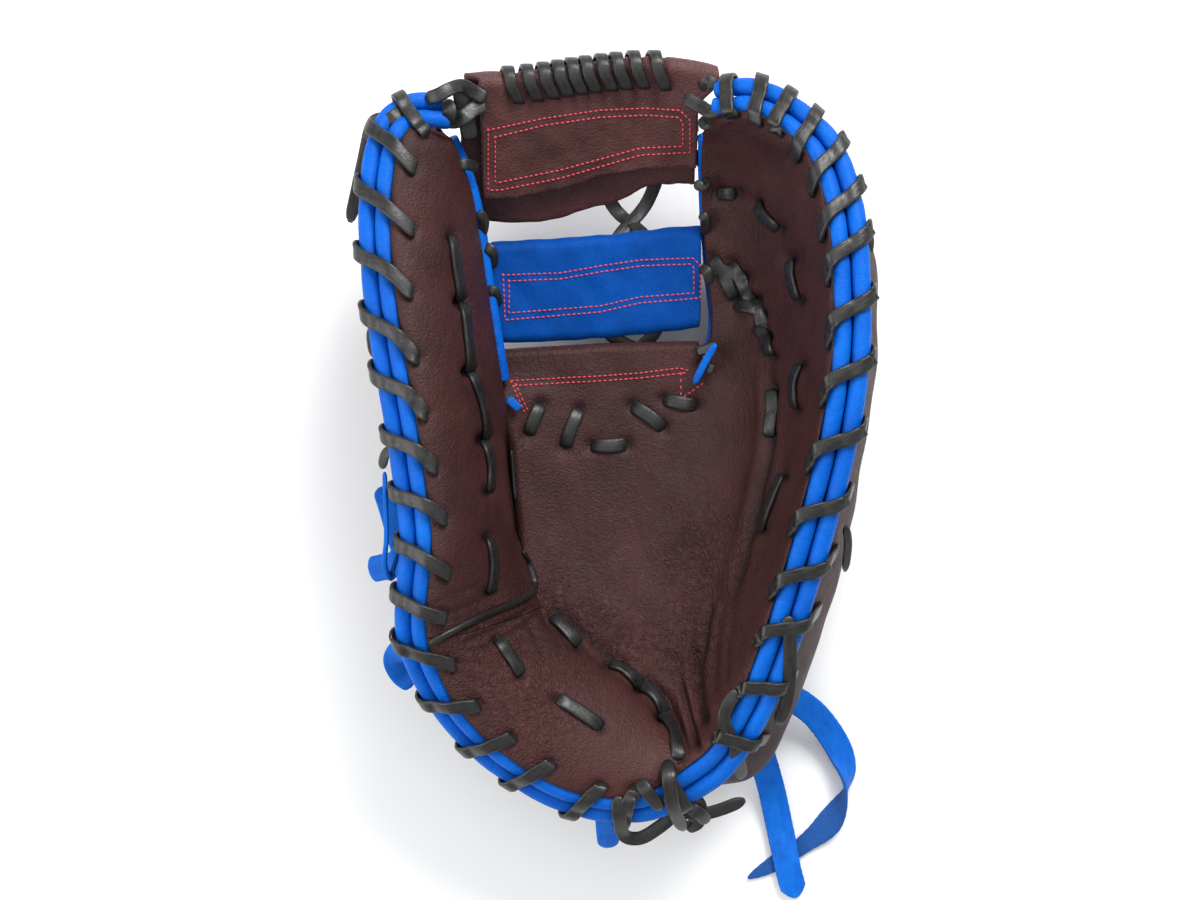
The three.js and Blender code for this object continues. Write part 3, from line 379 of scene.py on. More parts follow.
def add_mesh(name, points, faces, finish, marks=None):
    mesh = bpy.data.meshes.new(name)
    mesh.from_pydata(((points + SHIFT) * 0.001).tolist(), [], faces)
    mesh.shade_smooth()
    for mark, values in (marks or {}).items():
        layer = mesh.attributes.new(mark, "FLOAT", "POINT")
        layer.data.foreach_set("value", np.asarray(values, np.float32))
    piece = bpy.data.objects.new(name, mesh)
    bpy.context.scene.collection.objects.link(piece)
    mesh.materials.append(finish)
    return piece


def signed_volume(points, faces):
    total = 0.0
    for face in faces:
        a = points[face[0]]
        for k in range(1, len(face) - 1):
            total += float(np.dot(a, np.cross(points[face[k]], points[face[k + 1]])))
    return total


def weld(grids):
    """Grids of points joined into one surface: its points, its faces, and where each point came from."""
    points = np.concatenate([grid.reshape(-1, 3) for grid in grids])
    _, first, back = np.unique(np.round(points, 3), axis=0, return_index=True, return_inverse=True)
    back = back.reshape(-1)
    faces, start = [], 0
    for grid in grids:
        rows, columns = grid.shape[:2]
        index = back[start:start + rows * columns].reshape(rows, columns)
        corners = np.stack((index[:-1, :-1], index[1:, :-1], index[1:, 1:], index[:-1, 1:]), -1)
        faces += corners.reshape(-1, 4).tolist()
        start += rows * columns
    kept = []
    for face in faces:
        clean = [corner for k, corner in enumerate(face) if corner != face[k - 1]]
        if len(clean) > 2:
            kept.append(clean)
    return points[first], kept, first


def point_normals(points, faces):
    normals = np.zeros_like(points)
    quads = np.array([face if len(face) == 4 else face + face[-1:] for face in faces])
    face_normals = np.cross(points[quads[:, 2]] - points[quads[:, 0]], points[quads[:, 3]] - points[quads[:, 1]])
    for k in range(4):
        np.add.at(normals, quads[:, k], face_normals)
    return unit(normals)


def open_edges(faces):
    edges = set()
    for face in faces:
        for k, corner in enumerate(face):
            edges.add((face[k - 1], corner))
    return [(a, b) for a, b in edges if (b, a) not in edges]


def wall(points, faces, thick, raised, directions=None, lip=0.30):
    """Closed leather wall: raised outer face, inner face at its thickness, and rounded edges between."""
    normals = point_normals(points, faces)
    if directions is not None:
        given = np.linalg.norm(directions, axis=-1) > 0.5
        normals = np.where(given[:, None], directions, normals)
    outer = points + normals * raised[:, None]
    inner = points - normals * thick[:, None]
    count = len(points)
    edges = open_edges(faces)
    outward = np.zeros_like(points)
    for a, b in edges:
        direction = np.cross(points[b] - points[a], normals[a])
        outward[a] += direction
        outward[b] += direction
    outward = unit(outward)
    rim = sorted({corner for edge in edges for corner in edge})
    place = {corner: k for k, corner in enumerate(rim)}
    rings = []
    for step in (1, 2, 3):
        angle = math.pi * step / 4
        middle = (outer[rim] + inner[rim]) / 2
        half = (outer[rim] - inner[rim]) / 2
        bulge = outward[rim] * (np.abs(thick) * lip)[rim][:, None] * math.sin(angle)
        rings.append(middle + half * math.cos(angle) + bulge)
    made = [list(face) for face in faces] + [[c + count for c in reversed(face)] for face in faces]
    for a, b in edges:
        left = [a] + [2 * count + k * len(rim) + place[a] for k in range(3)] + [a + count]
        right = [b] + [2 * count + k * len(rim) + place[b] for k in range(3)] + [b + count]
        for k in range(4):
            made.append([right[k], left[k], left[k + 1], right[k + 1]])
    every = np.concatenate((outer, inner, *rings))
    if signed_volume(every, made) < 0:
        made = [face[::-1] for face in made]
    return every, made


def swept(path, across, wide, thick, square=0.5, sides=14):
    """Closed strip of rounded section along a path; wide and thick are given at each point."""
    tangent = heading(path)
    across = unit(across - dot(across, tangent) * tangent)
    out = np.cross(across, tangent)
    angle = 2 * np.pi * (np.arange(sides) + 0.5) / sides
    c = np.sign(np.cos(angle)) * np.abs(np.cos(angle)) ** square
    s = np.sign(np.sin(angle)) * np.abs(np.sin(angle)) ** square
    wide = np.broadcast_to(wide, len(path))
    thick = np.broadcast_to(thick, len(path))
    rings = (path[:, None] + across[:, None] * (wide / 2)[:, None, None] * c[None, :, None]
             + out[:, None] * (thick / 2)[:, None, None] * s[None, :, None])
    count = len(path)
    points = np.concatenate((rings.reshape(-1, 3), path[:1], path[-1:]))
    faces = []
    for i in range(count - 1):
        for j in range(sides):
            k = (j + 1) % sides
            faces.append([i * sides + j, i * sides + k, (i + 1) * sides + k, (i + 1) * sides + j])
    for j in range(sides):
        k = (j + 1) % sides
        faces.append([count * sides, k, j])
        faces.append([count * sides + 1, (count - 1) * sides + j, (count - 1) * sides + k])
    if signed_volume(points, faces) < 0:
        faces = [face[::-1] for face in faces]
    return points, faces


def joined(parts):
    points, faces, start = [], [], 0
    for some_points, some_faces in parts:
        points.append(some_points)
        faces += [[corner + start for corner in face] for face in some_faces]
        start += len(some_points)
    return np.concatenate(points), faces


def run_of(path):
    """Length along a path up to each of its points."""
    return np.concatenate(((0,), np.cumsum(np.linalg.norm(np.diff(path, axis=0), axis=1))))


def heading(path):
    return unit(np.gradient(path, axis=0))


def settled(path, times):
    """A path with its small kinks eased and its ends kept."""
    for _ in range(times):
        path[1:-1] = (path[:-2] + 2 * path[1:-1] + path[2:]) / 4
    return path


def resample(path, spacing):
    run = run_of(path)
    at = np.linspace(0, run[-1], max(2, int(round(run[-1] / spacing)) + 1))
    return np.stack([np.interp(at, run, path[:, k]) for k in range(3)], -1)


def fine_path(points, per_step=10):
    points = np.asarray(points, float)
    return through(points, np.linspace(0, len(points) - 1, (len(points) - 1) * per_step + 1))


# ---- Finishes ----

def linear(code):
    values = [int(code[k:k + 2], 16) / 255 for k in (1, 3, 5)]
    return [v / 12.92 if v <= 0.04045 else ((v + 0.055) / 1.055) ** 2.4 for v in values] + [1.0]


def node(tree, kind, inputs=None, **settings):
    made = tree.nodes.new(kind)
    for name, value in settings.items():
        setattr(made, name, value)
    for socket, value in (inputs or {}).items():
        if isinstance(value, bpy.types.NodeSocket):
            tree.links.new(value, made.inputs[socket])
        else:
            made.inputs[socket].default_value = value
    return made


def new_finish(name):
    finish = bpy.data.materials.new(name)
    finish.use_nodes = True
    tree = finish.node_tree
    shader = tree.nodes["Principled BSDF"]
    place = node(tree, "ShaderNodeTexCoord").outputs["Object"]
    return finish, tree, shader, place


def scaled(tree, place, x, y, z):
    return node(tree, "ShaderNodeMapping", {"Vector": place, "Scale": (x, y, z)}).outputs["Vector"]


def mixed(tree, share, a, b):
    mixing = node(tree, "ShaderNodeMix", {0: share}, data_type="RGBA")
    for socket, value in ((6, a), (7, b)):
        if isinstance(value, bpy.types.NodeSocket):
            tree.links.new(value, mixing.inputs[socket])
        else:
            mixing.inputs[socket].default_value = value
    return mixing.outputs[2]


def ranged(tree, value, low, high, to_low, to_high):
    return node(tree, "ShaderNodeMapRange", {0: value, 1: low, 2: high, 3: to_low, 4: to_high}).outputs[0]


def full_grain_leather(name, dark, light, warm, painted_crease_shade, wrinkle_mm=(9, 9, 9), gloss=0.48, grain=0.6, shine=0.36):
    """Steerhide, drum dyed and lightly waxed: a fine pebble grain with soft wrinkles, a satin gloss,
    paler where it is rubbed, and painted shade that takes it nearly black down in the creases."""
    finish, tree, shader, place = new_finish(name)
    patches = node(tree, "ShaderNodeTexNoise", {"Vector": place, "Scale": 38.0, "Detail": 5.0, "Roughness": 0.6})
    tone = ranged(tree, patches.outputs["Fac"], 0.25, 0.75, 0.0, 1.0)
    color = mixed(tree, tone, linear(dark), linear(light))
    warmth = node(tree, "ShaderNodeAttribute", attribute_name="warm").outputs["Fac"]
    color = mixed(tree, warmth, color, linear(warm))
    # Pebble grain of about 1 mm, as coarse as the picture can show
    pebble = node(tree, "ShaderNodeTexVoronoi", {"Vector": place, "Scale": 1000.0, "Randomness": 1.0})
    pores = node(tree, "ShaderNodeTexNoise", {"Vector": place, "Scale": 1400.0, "Detail": 2.0})
    speck = ranged(tree, pores.outputs["Fac"], 0.3, 0.7, 0.86, 1.12)
    specks = node(tree, "ShaderNodeCombineXYZ", {0: speck, 1: speck, 2: speck}).outputs[0]
    speckled = node(tree, "ShaderNodeVectorMath", {0: color, 1: specks}, operation="MULTIPLY")
    # Painted shade: the colour goes toward the crease colour where the painted_shade mark is set, in creases, lace
    # holes and along the pad's edge by the binding
    painted_shade = node(tree, "ShaderNodeAttribute", attribute_name="painted_shade").outputs["Fac"]
    color = mixed(tree, painted_shade, speckled.outputs[0], linear(painted_crease_shade))
    tree.links.new(color, shader.inputs["Base Color"])
    stretched = scaled(tree, place, 1000 / wrinkle_mm[0], 1000 / wrinkle_mm[1], 1000 / wrinkle_mm[2])
    wrinkles = node(tree, "ShaderNodeTexNoise", {"Vector": stretched, "Scale": 1.0, "Detail": 6.0,
                                                 "Roughness": 0.62, "Distortion": 0.6})
    fold = node(tree, "ShaderNodeBump", {"Strength": 0.45, "Distance": 0.0016, "Height": wrinkles.outputs["Fac"]})
    # Broken wrinkles about 3 mm apart where the leather bends, drawn as the ridges of a noise
    bent = node(tree, "ShaderNodeAttribute", attribute_name="bent").outputs["Fac"]
    ripple = node(tree, "ShaderNodeTexNoise", {"Vector": place, "Scale": 330.0, "Detail": 3.0, "Roughness": 0.5,
                                               "Distortion": 1.2})
    ridge = node(tree, "ShaderNodeMath", {0: ripple.outputs["Fac"], 1: 0.5}, operation="SUBTRACT")
    ridge = node(tree, "ShaderNodeMath", {0: ridge.outputs[0]}, operation="ABSOLUTE")
    ridge = node(tree, "ShaderNodeMath", {0: ridge.outputs[0], 1: bent}, operation="MULTIPLY")
    fold = node(tree, "ShaderNodeBump", {"Strength": 0.8, "Distance": 0.004, "Height": ridge.outputs[0],
                                         "Normal": fold.outputs["Normal"]})
    close = node(tree, "ShaderNodeBump", {"Strength": grain, "Distance": 0.0004, "Height": pebble.outputs["Distance"],
                                          "Normal": fold.outputs["Normal"]})
    tree.links.new(close.outputs["Normal"], shader.inputs["Normal"])
    rough = ranged(tree, wrinkles.outputs["Fac"], 0.3, 0.7, gloss - 0.07, gloss + 0.10)
    tree.links.new(rough, shader.inputs["Roughness"])
    shader.inputs["IOR"].default_value = 1.47
    shader.inputs["Specular IOR Level"].default_value = shine
    return finish


def dyed_strap_leather(name, dark, light, streak, gloss=0.42, across_mm=0.5, along_mm=7.0, shine=0.5):
    """Drum-dyed lace and strap leather: lengthwise fibres, small cracks in the finish where it bends,
    and a soft shine on the rounded edges."""
    finish, tree, shader, place = new_finish(name)
    patches = node(tree, "ShaderNodeTexNoise", {"Vector": place, "Scale": 120.0, "Detail": 4.0, "Roughness": 0.6})
    tone = ranged(tree, patches.outputs["Fac"], 0.32, 0.68, 0.0, 1.0)
    color = mixed(tree, tone, linear(dark), linear(light))
    lane = node(tree, "ShaderNodeUVMap", uv_map="strip").outputs["UV"]
    fibres = node(tree, "ShaderNodeTexNoise", {"Vector": scaled(tree, lane, 1 / across_mm, 1 / along_mm, 1),
                                               "Scale": 1.0, "Detail": 4.0, "Roughness": 0.6})
    rubbed = ranged(tree, fibres.outputs["Fac"], 0.35, 0.72, 0.0, 0.55)
    color = mixed(tree, rubbed, color, linear(streak))
    # Painted shade: the colour goes toward the dark tone where the painted_shade mark is set
    painted_shade = node(tree, "ShaderNodeAttribute", attribute_name="painted_shade").outputs["Fac"]
    color = mixed(tree, painted_shade, color, linear(dark))
    tree.links.new(color, shader.inputs["Base Color"])
    cells = node(tree, "ShaderNodeTexNoise", {"Vector": place, "Scale": 900.0, "Detail": 3.0})
    low = node(tree, "ShaderNodeBump", {"Strength": 0.35, "Distance": 0.0005, "Height": fibres.outputs["Fac"]})
    fine = node(tree, "ShaderNodeBump", {"Strength": 0.25, "Distance": 0.0003, "Height": cells.outputs["Fac"],
                                         "Normal": low.outputs["Normal"]})
    tree.links.new(fine.outputs["Normal"], shader.inputs["Normal"])
    tree.links.new(ranged(tree, cells.outputs["Fac"], 0.3, 0.7, gloss - 0.06, gloss + 0.08),
                   shader.inputs["Roughness"])
    shader.inputs["IOR"].default_value = 1.47
    shader.inputs["Specular IOR Level"].default_value = shine
    return finish


def plain_finish(name, color, rough, fleck_mm=0.5, spread=0.25):
    """Thread and suede: matt, with a fine fleck at the stated size."""
    finish, tree, shader, place = new_finish(name)
    fleck = node(tree, "ShaderNodeTexNoise", {"Vector": place, "Scale": 1000 / fleck_mm, "Detail": 3.0})
    tone = ranged(tree, fleck.outputs["Fac"], 0.3, 0.7, 0.0, 1.0)
    low = [v * (1 - spread) for v in linear(color)[:3]] + [1.0]
    high = [min(1, v * (1 + spread)) for v in linear(color)[:3]] + [1.0]
    tree.links.new(mixed(tree, tone, low, high), shader.inputs["Base Color"])
    bump = node(tree, "ShaderNodeBump", {"Strength": 0.4, "Distance": 0.0003, "Height": fleck.outputs["Fac"]})
    tree.links.new(bump.outputs["Normal"], shader.inputs["Normal"])
    shader.inputs["Roughness"].default_value = rough
    return finish


# The fourth colour of each leather is the painted shade used in creases, lace holes and at the pad's edge by the
# binding
palm_leather = full_grain_leather("palm_steerhide", "#2f1818", "#452524", "#4c2927", "#0f0808",
                                  wrinkle_mm=(4.5, 13, 9), gloss=0.55, shine=0.3)
back_leather = full_grain_leather("back_steerhide", "#2a1615", "#3c2221", "#58302d", "#0f0808",
                                  wrinkle_mm=(11, 11, 11), gloss=0.6)
bar_leather = full_grain_leather("web_steerhide", "#3d2322", "#5c3736", "#5e3531", "#150b0b",
                                 wrinkle_mm=(5, 9, 7))
binding_leather = full_grain_leather("binding_cowhide_blue", "#0052b6", "#0468d0", "#045ec4", "#03235c",
                                     wrinkle_mm=(6, 6, 6), gloss=0.5, grain=0.15, shine=0.16)
sleeve_leather = full_grain_leather("sleeve_cowhide_blue", "#003a82", "#004ca4", "#004ca4", "#001a42",
                                    wrinkle_mm=(4, 10, 7), gloss=0.6, grain=0.2, shine=0.1)
lace_leather = dyed_strap_leather("lace_rawhide_black", "#0c0c0c", "#1d1d1d", "#363635", gloss=0.36)
tie_leather = dyed_strap_leather("tie_leather_blue", "#0450b0", "#0866cc", "#1672d6", gloss=0.55, shine=0.16)
tie_suede = plain_finish("tie_suede_blue", "#0f4a90", 0.9, fleck_mm=0.6, spread=0.35)
red_thread = plain_finish("bonded_nylon_thread_red", "#d8485a", 0.5, fleck_mm=0.3)


# ---- Camera, floor and light ----

def add_view():
    camera = bpy.data.cameras.new("front_camera")
    camera.sensor_width = SENSOR_WIDE
    camera.lens = PLAN_REACH * SENSOR_WIDE / PLAN_WIDE
    camera.clip_end = 20.0
    holder = bpy.data.objects.new("front_camera", camera)
    holder.location = (EYE + SHIFT) * 0.001
    bpy.context.scene.collection.objects.link(holder)
    bpy.context.scene.camera = holder


def add_floor():
    finish, tree, shader, place = new_finish("studio_paper")
    soft = node(tree, "ShaderNodeTexNoise", {"Vector": place, "Scale": 3.0, "Detail": 2.0})
    tree.links.new(mixed(tree, ranged(tree, soft.outputs["Fac"], 0.3, 0.7, 0.0, 1.0), linear("#f4f5f6"),
                         linear("#f8f9fa")), shader.inputs["Base Color"])
    shader.inputs["Roughness"].default_value = 0.9
    points = np.array(((-4000, -4000, 0), (4000, -4000, 0), (4000, 4000, 0), (-4000, 4000, 0.0)))
    add_mesh("studio_floor", points, [[0, 1, 2, 3]], finish)


def add_light(name, place, aim, power, size):
    lamp = bpy.data.lights.new(name, "AREA")
    lamp.energy = power
    lamp.size = size
    holder = bpy.data.objects.new(name, lamp)
    holder.location = place
    holder.rotation_euler = (Vector(aim) - Vector(place)).to_track_quat("-Z", "Y").to_euler()
    bpy.context.scene.collection.objects.link(holder)


def add_studio():
    add_floor()
    add_light("key_softbox", (0.5, 1.15, 1.25), (0, 0, 0.05), 33, 0.8)
    add_light("top_softbox", (-0.2, 0.3, 2.0), (0, 0, 0), 10, 1.6)
    add_light("fill_softbox", (-1.4, -0.3, 0.9), (0.06, 0, 0.07), 17, 1.2)
    world = bpy.data.worlds.new("studio_air")
    world.use_nodes = True
    background = world.node_tree.nodes["Background"]
    background.inputs["Color"].default_value = (1, 1, 1, 1)
    background.inputs["Strength"].default_value = 0.5
    bpy.context.scene.world = world
    bpy.context.scene.view_settings.view_transform = "Standard"


def fit(piece, slot, *nodes):
    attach(piece, "root")
    if nodes:
        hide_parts(*nodes)
    return piece


def strap(path, across, wide, thick, square=0.45, sides=14, ends=True):
    """One strap or lace, with its girth and length at each point for the fibres."""
    wide = np.array(np.broadcast_to(wide, len(path)), float)
    thick = np.array(np.broadcast_to(thick, len(path)), float)
    if ends:
        for k, share in enumerate((0.35, 0.75, 0.93)):
            for index in (k, -1 - k):
                wide[index] *= share
                thick[index] *= min(1, share + 0.15)
    points, faces = swept(path, across, wide, thick, square, sides)
    run = run_of(path)
    angle = (np.arange(sides) + 0.5) / sides
    girth = float(np.mean(wide)) * 2
    u = np.concatenate((np.tile(angle * girth, len(path)), (0, 0)))
    v = np.concatenate((np.repeat(run, sides), (run[0], run[-1])))
    return points, faces, u, v


def add_straps(name, strips, finish):
    points, faces = joined([strip[:2] for strip in strips])
    u = np.concatenate([strip[2] for strip in strips])
    v = np.concatenate([strip[3] for strip in strips])
    piece = add_mesh(name, points, faces, finish)
    layer = piece.data.uv_layers.new(name="strip")
    corners = np.zeros(len(piece.data.loops), int)
    piece.data.loops.foreach_get("vertex_index", corners)
    layer.data.foreach_set("uv", np.stack((u[corners], v[corners]), -1).astype(np.float32).reshape(-1))
    return piece


add_view()


# ---- Free tie ends ----

def tie_route(rows):
    index = np.linspace(0, len(rows) - 1, 3 * (len(rows) - 1) + 1)
    values = through(rows, index)
    return values[:, :3] * np.array((WIDTH, LENGTH, 1.0)), np.radians(values[:, 3])


TIE_WIDTH, TIE_THICK, TIE_SIDES = 12.0, 1.9, 20
TIE_ROOTS = []


def add_tie(name, rows, replaced, narrow, point):
    route, turn = tie_route(rows)
    fine = fine_path(route, 8)
    turns = np.interp(np.linspace(0, len(route) - 1, len(fine)), np.arange(len(route)), turn)
    tangent = heading(fine)
    level = unit(np.stack((tangent[:, 1], -tangent[:, 0], np.zeros(len(fine))), -1))
    rise = np.cross(level, tangent)
    across = level * np.cos(turns)[:, None] + rise * np.sin(turns)[:, None]
    left = run_of(fine)[-1] - run_of(fine)
    wide = TIE_WIDTH - narrow * smooth(0.55, 0.75, np.linspace(0, 1, len(fine)))
    wide *= np.clip(left / point, 0.02, 1) ** 0.5
    wide += 0.22 * np.sin(left * 3.1) * np.sin(left * 1.37 + 1)
    strip = strap(fine, across, wide, TIE_THICK, 0.35, TIE_SIDES, ends=False)
    piece = add_straps(name, [strip], tie_leather)
    piece.data.materials.append(tie_suede)
    under = np.zeros(len(piece.data.polygons), np.int32)
    ring = np.arange((len(fine) - 1) * TIE_SIDES) % TIE_SIDES
    under[:ring.size] = (ring >= TIE_SIDES // 2 - 1) | (ring == 0)
    piece.data.polygons.foreach_set("material_index", under)
    fit(piece, "blue", replaced)
    root = route[0] + unit(route[0] - route[1]) * np.array((0.0, 4.0))[:, None]
    root = np.stack((root[0], (root[0] + root[1]) / 2, root[1]))
    TIE_ROOTS.append(strap(root, np.tile(across[0], (3, 1)), TIE_WIDTH, TIE_THICK, 0.35, TIE_SIDES))


add_tie("heel_tie_outer", TIE_OUTER, "tie_end_outer", 0.5, 5.0)
add_tie("heel_tie_inner", TIE_INNER, "tie_end_inner", 4.6, 14.0)


# ---- Palm and thumb pad ----

# Long creases and seams on the plan: points, width on the plan, depth in millimetres
CREASES = (
    (((446, 655), (470, 650), (495, 648)), 2.5, 0.7),
    (((448, 663), (475, 663), (500, 668)), 2.5, 0.8),
    (((452, 672), (478, 680), (500, 692)), 2.5, 0.9),
    (((455, 682), (476, 698), (492, 715)), 2.5, 0.8),
    (((462, 692), (480, 712), (490, 735)), 2.5, 0.7),
    (((440, 640), (465, 628), (495, 612), (522, 600)), 2.5, 0.8),
    (((452, 650), (485, 634), (515, 618), (538, 604)), 2.5, 0.9),
    (((470, 655), (500, 641), (526, 624), (545, 606)), 2.5, 0.8),
    (((520, 610), (534, 636), (545, 662)), 3.0, 0.9),
    (((530, 604), (550, 628), (562, 652)), 3.0, 0.9),
    (((505, 640), (520, 650), (537, 658)), 2.5, 0.7),
    (((500, 700), (510, 722), (508, 742)), 2.5, 0.7),
    (((515, 678), (530, 700), (532, 725)), 2.5, 0.5),
    (((430, 605), (455, 594), (482, 584)), 2.5, 0.6),
    (((440, 618), (468, 606), (498, 594)), 2.5, 0.6),
    (((545, 598), (575, 625), (605, 650), (640, 672)), 5.0, 1.3),
    (((640, 672), (668, 700), (684, 740)), 4.0, 1.0),
    (((680, 676), (688, 708), (700, 755)), 3.0, 1.8),
    (((694, 640), (699, 690), (706, 730)), 5.0, 2.4),
    (((712, 600), (706, 630), (703, 665)), 3.5, 1.6),
    (((768, 360), (771, 400), (768, 450), (757, 500), (745, 550), (735, 590), (728, 606)), 4.5, 2.4),
    (((740, 285), (756, 310), (766, 345)), 4.0, 2.0),
    (((722, 620), (716, 660), (716, 700)), 3.0, 0.8),
    (((735, 610), (728, 650), (727, 690)), 3.0, 0.7),
    (((640, 640), (665, 655), (690, 668)), 3.0, 0.6),
    (((600, 640), (640, 652), (676, 660)), 3.0, 0.5),
    (((506, 420), (511, 460), (515, 500), (519, 540), (523, 556)), 3.5, 1.6),
)

# Where the leather bends as the mitt closes: place and reach on the plan
BENDS = (
    ((478, 668), 62), ((540, 620), 40), ((700, 660), 50), ((520, 730), 45), ((715, 560), 45),
    ((600, 640), 35),
)

# Black lacing on the face of the pads, points on the plan
FACE_LACES = (
    ((541, 404), (534, 418), (528, 434)),
    ((579, 409), (571, 428), (565, 447)),
    ((591, 445), (609, 446), (627, 444)),
    ((632, 405), (648, 415), (664, 428)),
    ((664, 399), (681, 403), (697, 405)),
    ((452, 236), (455, 268), (461, 300)),
    ((463, 303), (466, 336), (470, 371)),
    ((471, 372), (481, 404), (487, 438)),
    ((484, 441), (489, 465), (489, 492)),
    ((489, 538), (492, 565), (490, 593)),
    ((497, 639), (508, 655), (521, 675)),
    ((552, 617), (565, 630), (579, 645)),
    ((557, 698), (578, 712), (602, 727)),
    ((609, 664), (625, 672), (641, 686)),
    ((641, 684), (655, 697), (665, 714)),
    ((662, 712), (673, 735), (680, 760)),
    ((717, 193), (727, 193), (737, 193)),
    ((757, 203), (766, 216), (779, 229)),
    ((791, 259), (793, 280), (799, 300)),
    ((800, 364), (795, 385), (796, 409)),
    ((782, 475), (773, 500), (761, 529)),
    ((757, 298), (760, 315), (766, 335)),
    ((756, 325), (765, 338), (772, 356)),
    ((771, 389), (773, 410), (769, 437)),
    ((703, 268), (720, 270), (744, 277)),
    ((712, 257), (724, 275), (735, 298)),
    ((731, 262), (742, 281), (752, 303)),
    ((736, 303), (749, 309), (762, 313)),
)
WELTS = (
    (((513, 450), (515, 478), (517, 500)), 1.6),
    (((521, 552), (530, 568), (534, 588), (515, 602), (480, 616), (450, 631), (428, 644)), 3.0),
)


def face_holes():
    spots = []
    for lace in FACE_LACES:
        spots += [(lace[0], 6.5), (lace[-1], 6.5)]
    for palm, _, hole in RIM_LACES:
        x, y = plan_of(pad_point(palm, hole))
        spots.append(((float(x), float(y)), 8.0))
    return spots


def near_line(x, y, line):
    """Distance from each plan place to a line, and how far along it that is."""
    line = np.asarray(line, float)
    lengths = np.linalg.norm(np.diff(line, axis=0), axis=1)
    total = float(np.sum(lengths))
    best = np.full(x.shape, 1e9)
    share = np.zeros(x.shape)
    done = 0.0
    for a, b, length in zip(line[:-1], line[1:], lengths):
        t = np.clip(((x - a[0]) * (b[0] - a[0]) + (y - a[1]) * (b[1] - a[1])) / length ** 2, 0, 1)
        distance = np.hypot(x - a[0] - t * (b[0] - a[0]), y - a[1] - t * (b[1] - a[1]))
        closer = distance < best
        best = np.where(closer, distance, best)
        share = np.where(closer, (done + t * length) / total, share)
        done += length
    return best, share


def worked_surface(points):
    """How far the leather is pressed in or raised, and how much painted shade darkens it in its creases and lace
    holes, from its place on the plan.
    """
    x, y = plan_of(points)
    raised = np.zeros(len(points))
    # Painted shade: creases and lace holes are darkened as if shade fell down into them
    painted_shade = np.zeros(len(points))
    for line, width, depth in CREASES:
        distance, share = near_line(x, y, fine_path(line, PLAN_STEPS))
        fade = smooth(0, 0.2, share) * (1 - smooth(0.8, 1, share)) + 0.15
        valley = np.exp(-(distance / width) ** 2)
        shoulder = np.exp(-((distance - 2.2 * width) / width) ** 2)
        deep = depth if depth > 0.95 else 0.6 * depth
        raised += deep * fade * (0.35 * shoulder - valley)
        painted_shade += 0.45 * min(1.2, deep) * fade * np.exp(-(distance / (0.7 * width)) ** 2)
    for (spot_x, spot_y), radius in face_holes():
        distance = np.hypot(x - spot_x, y - spot_y)
        raised -= 1.9 * np.exp(-(distance / radius) ** 2)
        painted_shade += 1.1 * np.exp(-(distance / (0.62 * radius)) ** 2)
    for lace in FACE_LACES:
        distance, _ = near_line(x, y, fine_path(lace, PLAN_STEPS))
        raised -= 0.5 * np.exp(-(distance / 8) ** 2)
    bent = np.zeros(len(points))
    for (spot_x, spot_y), reach in BENDS:
        bent += np.exp(-((x - spot_x) ** 2 + (y - spot_y) ** 2) / reach ** 2)
    return raised, np.clip(painted_shade, 0, 0.95), np.clip(0.15 + bent, 0, 1)


def uneven(points, size, height):
    """Slow hand-made unevenness of a leather panel, the same on every run."""
    x, y, z = (points[:, k] / size for k in range(3))
    return height * (np.sin(x * 2.1 + 1.3 * np.sin(y * 1.7 + 0.4)) * np.sin(y * 1.9 + 0.8 * np.sin(z * 2.3 + x))
                     + 0.5 * np.sin(3.7 * x + 2.9 * y + 1.1 * z))


def near_rim(u, t):
    """For a pad's grid: which way its wall stands near the rim, how far in it is free of the rim, and
    how much painted shade darkens its edge beside the binding."""
    out = rim_frame(u)[3]
    directions = unit(out + (normal_of(pad_point, u, t) - out) * (t / 0.5)[..., None])
    directions = np.where((t < 0.5)[..., None], directions, 0).reshape(-1, 3)
    return directions, smooth(0, 0.04, t).reshape(-1), 0.45 * (1 - smooth(0, 0.05, t)).reshape(-1)


def pad_marks(every, painted_shade, warm, bent):
    """Marks for the finish: as stated on the outer face, and none on the inner one."""
    spare = np.zeros(len(every) - len(painted_shade))
    return {name: np.concatenate((values, spare)) for name, values in
            (("painted_shade", painted_shade), ("warm", warm), ("bent", bent))}


def plain_marks(points):
    return {"painted_shade": np.zeros(len(points)), "warm": np.zeros(len(points))}


def add_palm():
    us = np.concatenate((np.arange(152, 481) / 16, (30.1, 30.2, 30.3, 30.4)))
    ts = np.linspace(0, 1, 69)
    u, t = np.meshgrid(us, ts, indexing="ij")
    sides = pad_point(u, t)
    rows = np.arange(0, 11 * 16 + 1) / 16
    acrosses = np.linspace(-1, 1, 73)
    row, across = np.meshgrid(rows, acrosses, indexing="ij")
    floor = pocket_point(row, across)
    points, faces, first = weld([sides, floor])
    thick = np.concatenate((pad_thickness(u, t).reshape(-1), floor_thickness(row - 2 + POCKET_FIRST).reshape(-1)))
    directions, free, dark = near_rim(u, t)
    directions = np.concatenate((directions, np.zeros((row.size, 3))))[first]
    free = np.concatenate((free, np.ones(row.size)))[first]
    dark = np.concatenate((dark, np.zeros(row.size)))[first]
    raised, painted_shade, bent = worked_surface(points)
    lip = np.where(points[:, 1] > 0.6 * LENGTH, 0.30, 0.06)
    every, made = wall(points, faces, thick[first], (raised + uneven(points, 14, 0.25)) * free, directions, lip)
    warm = 0.4 * smooth(560, 720, plan_of(points)[1])
    # Painted shade darkens the creases, the lace holes and the pad's edge beside the binding
    piece = add_mesh("palm_panel", every, made, palm_leather,
                     pad_marks(every, np.maximum(painted_shade, dark), warm, bent))
    fit(piece, "brown", "palm")
    return every, made


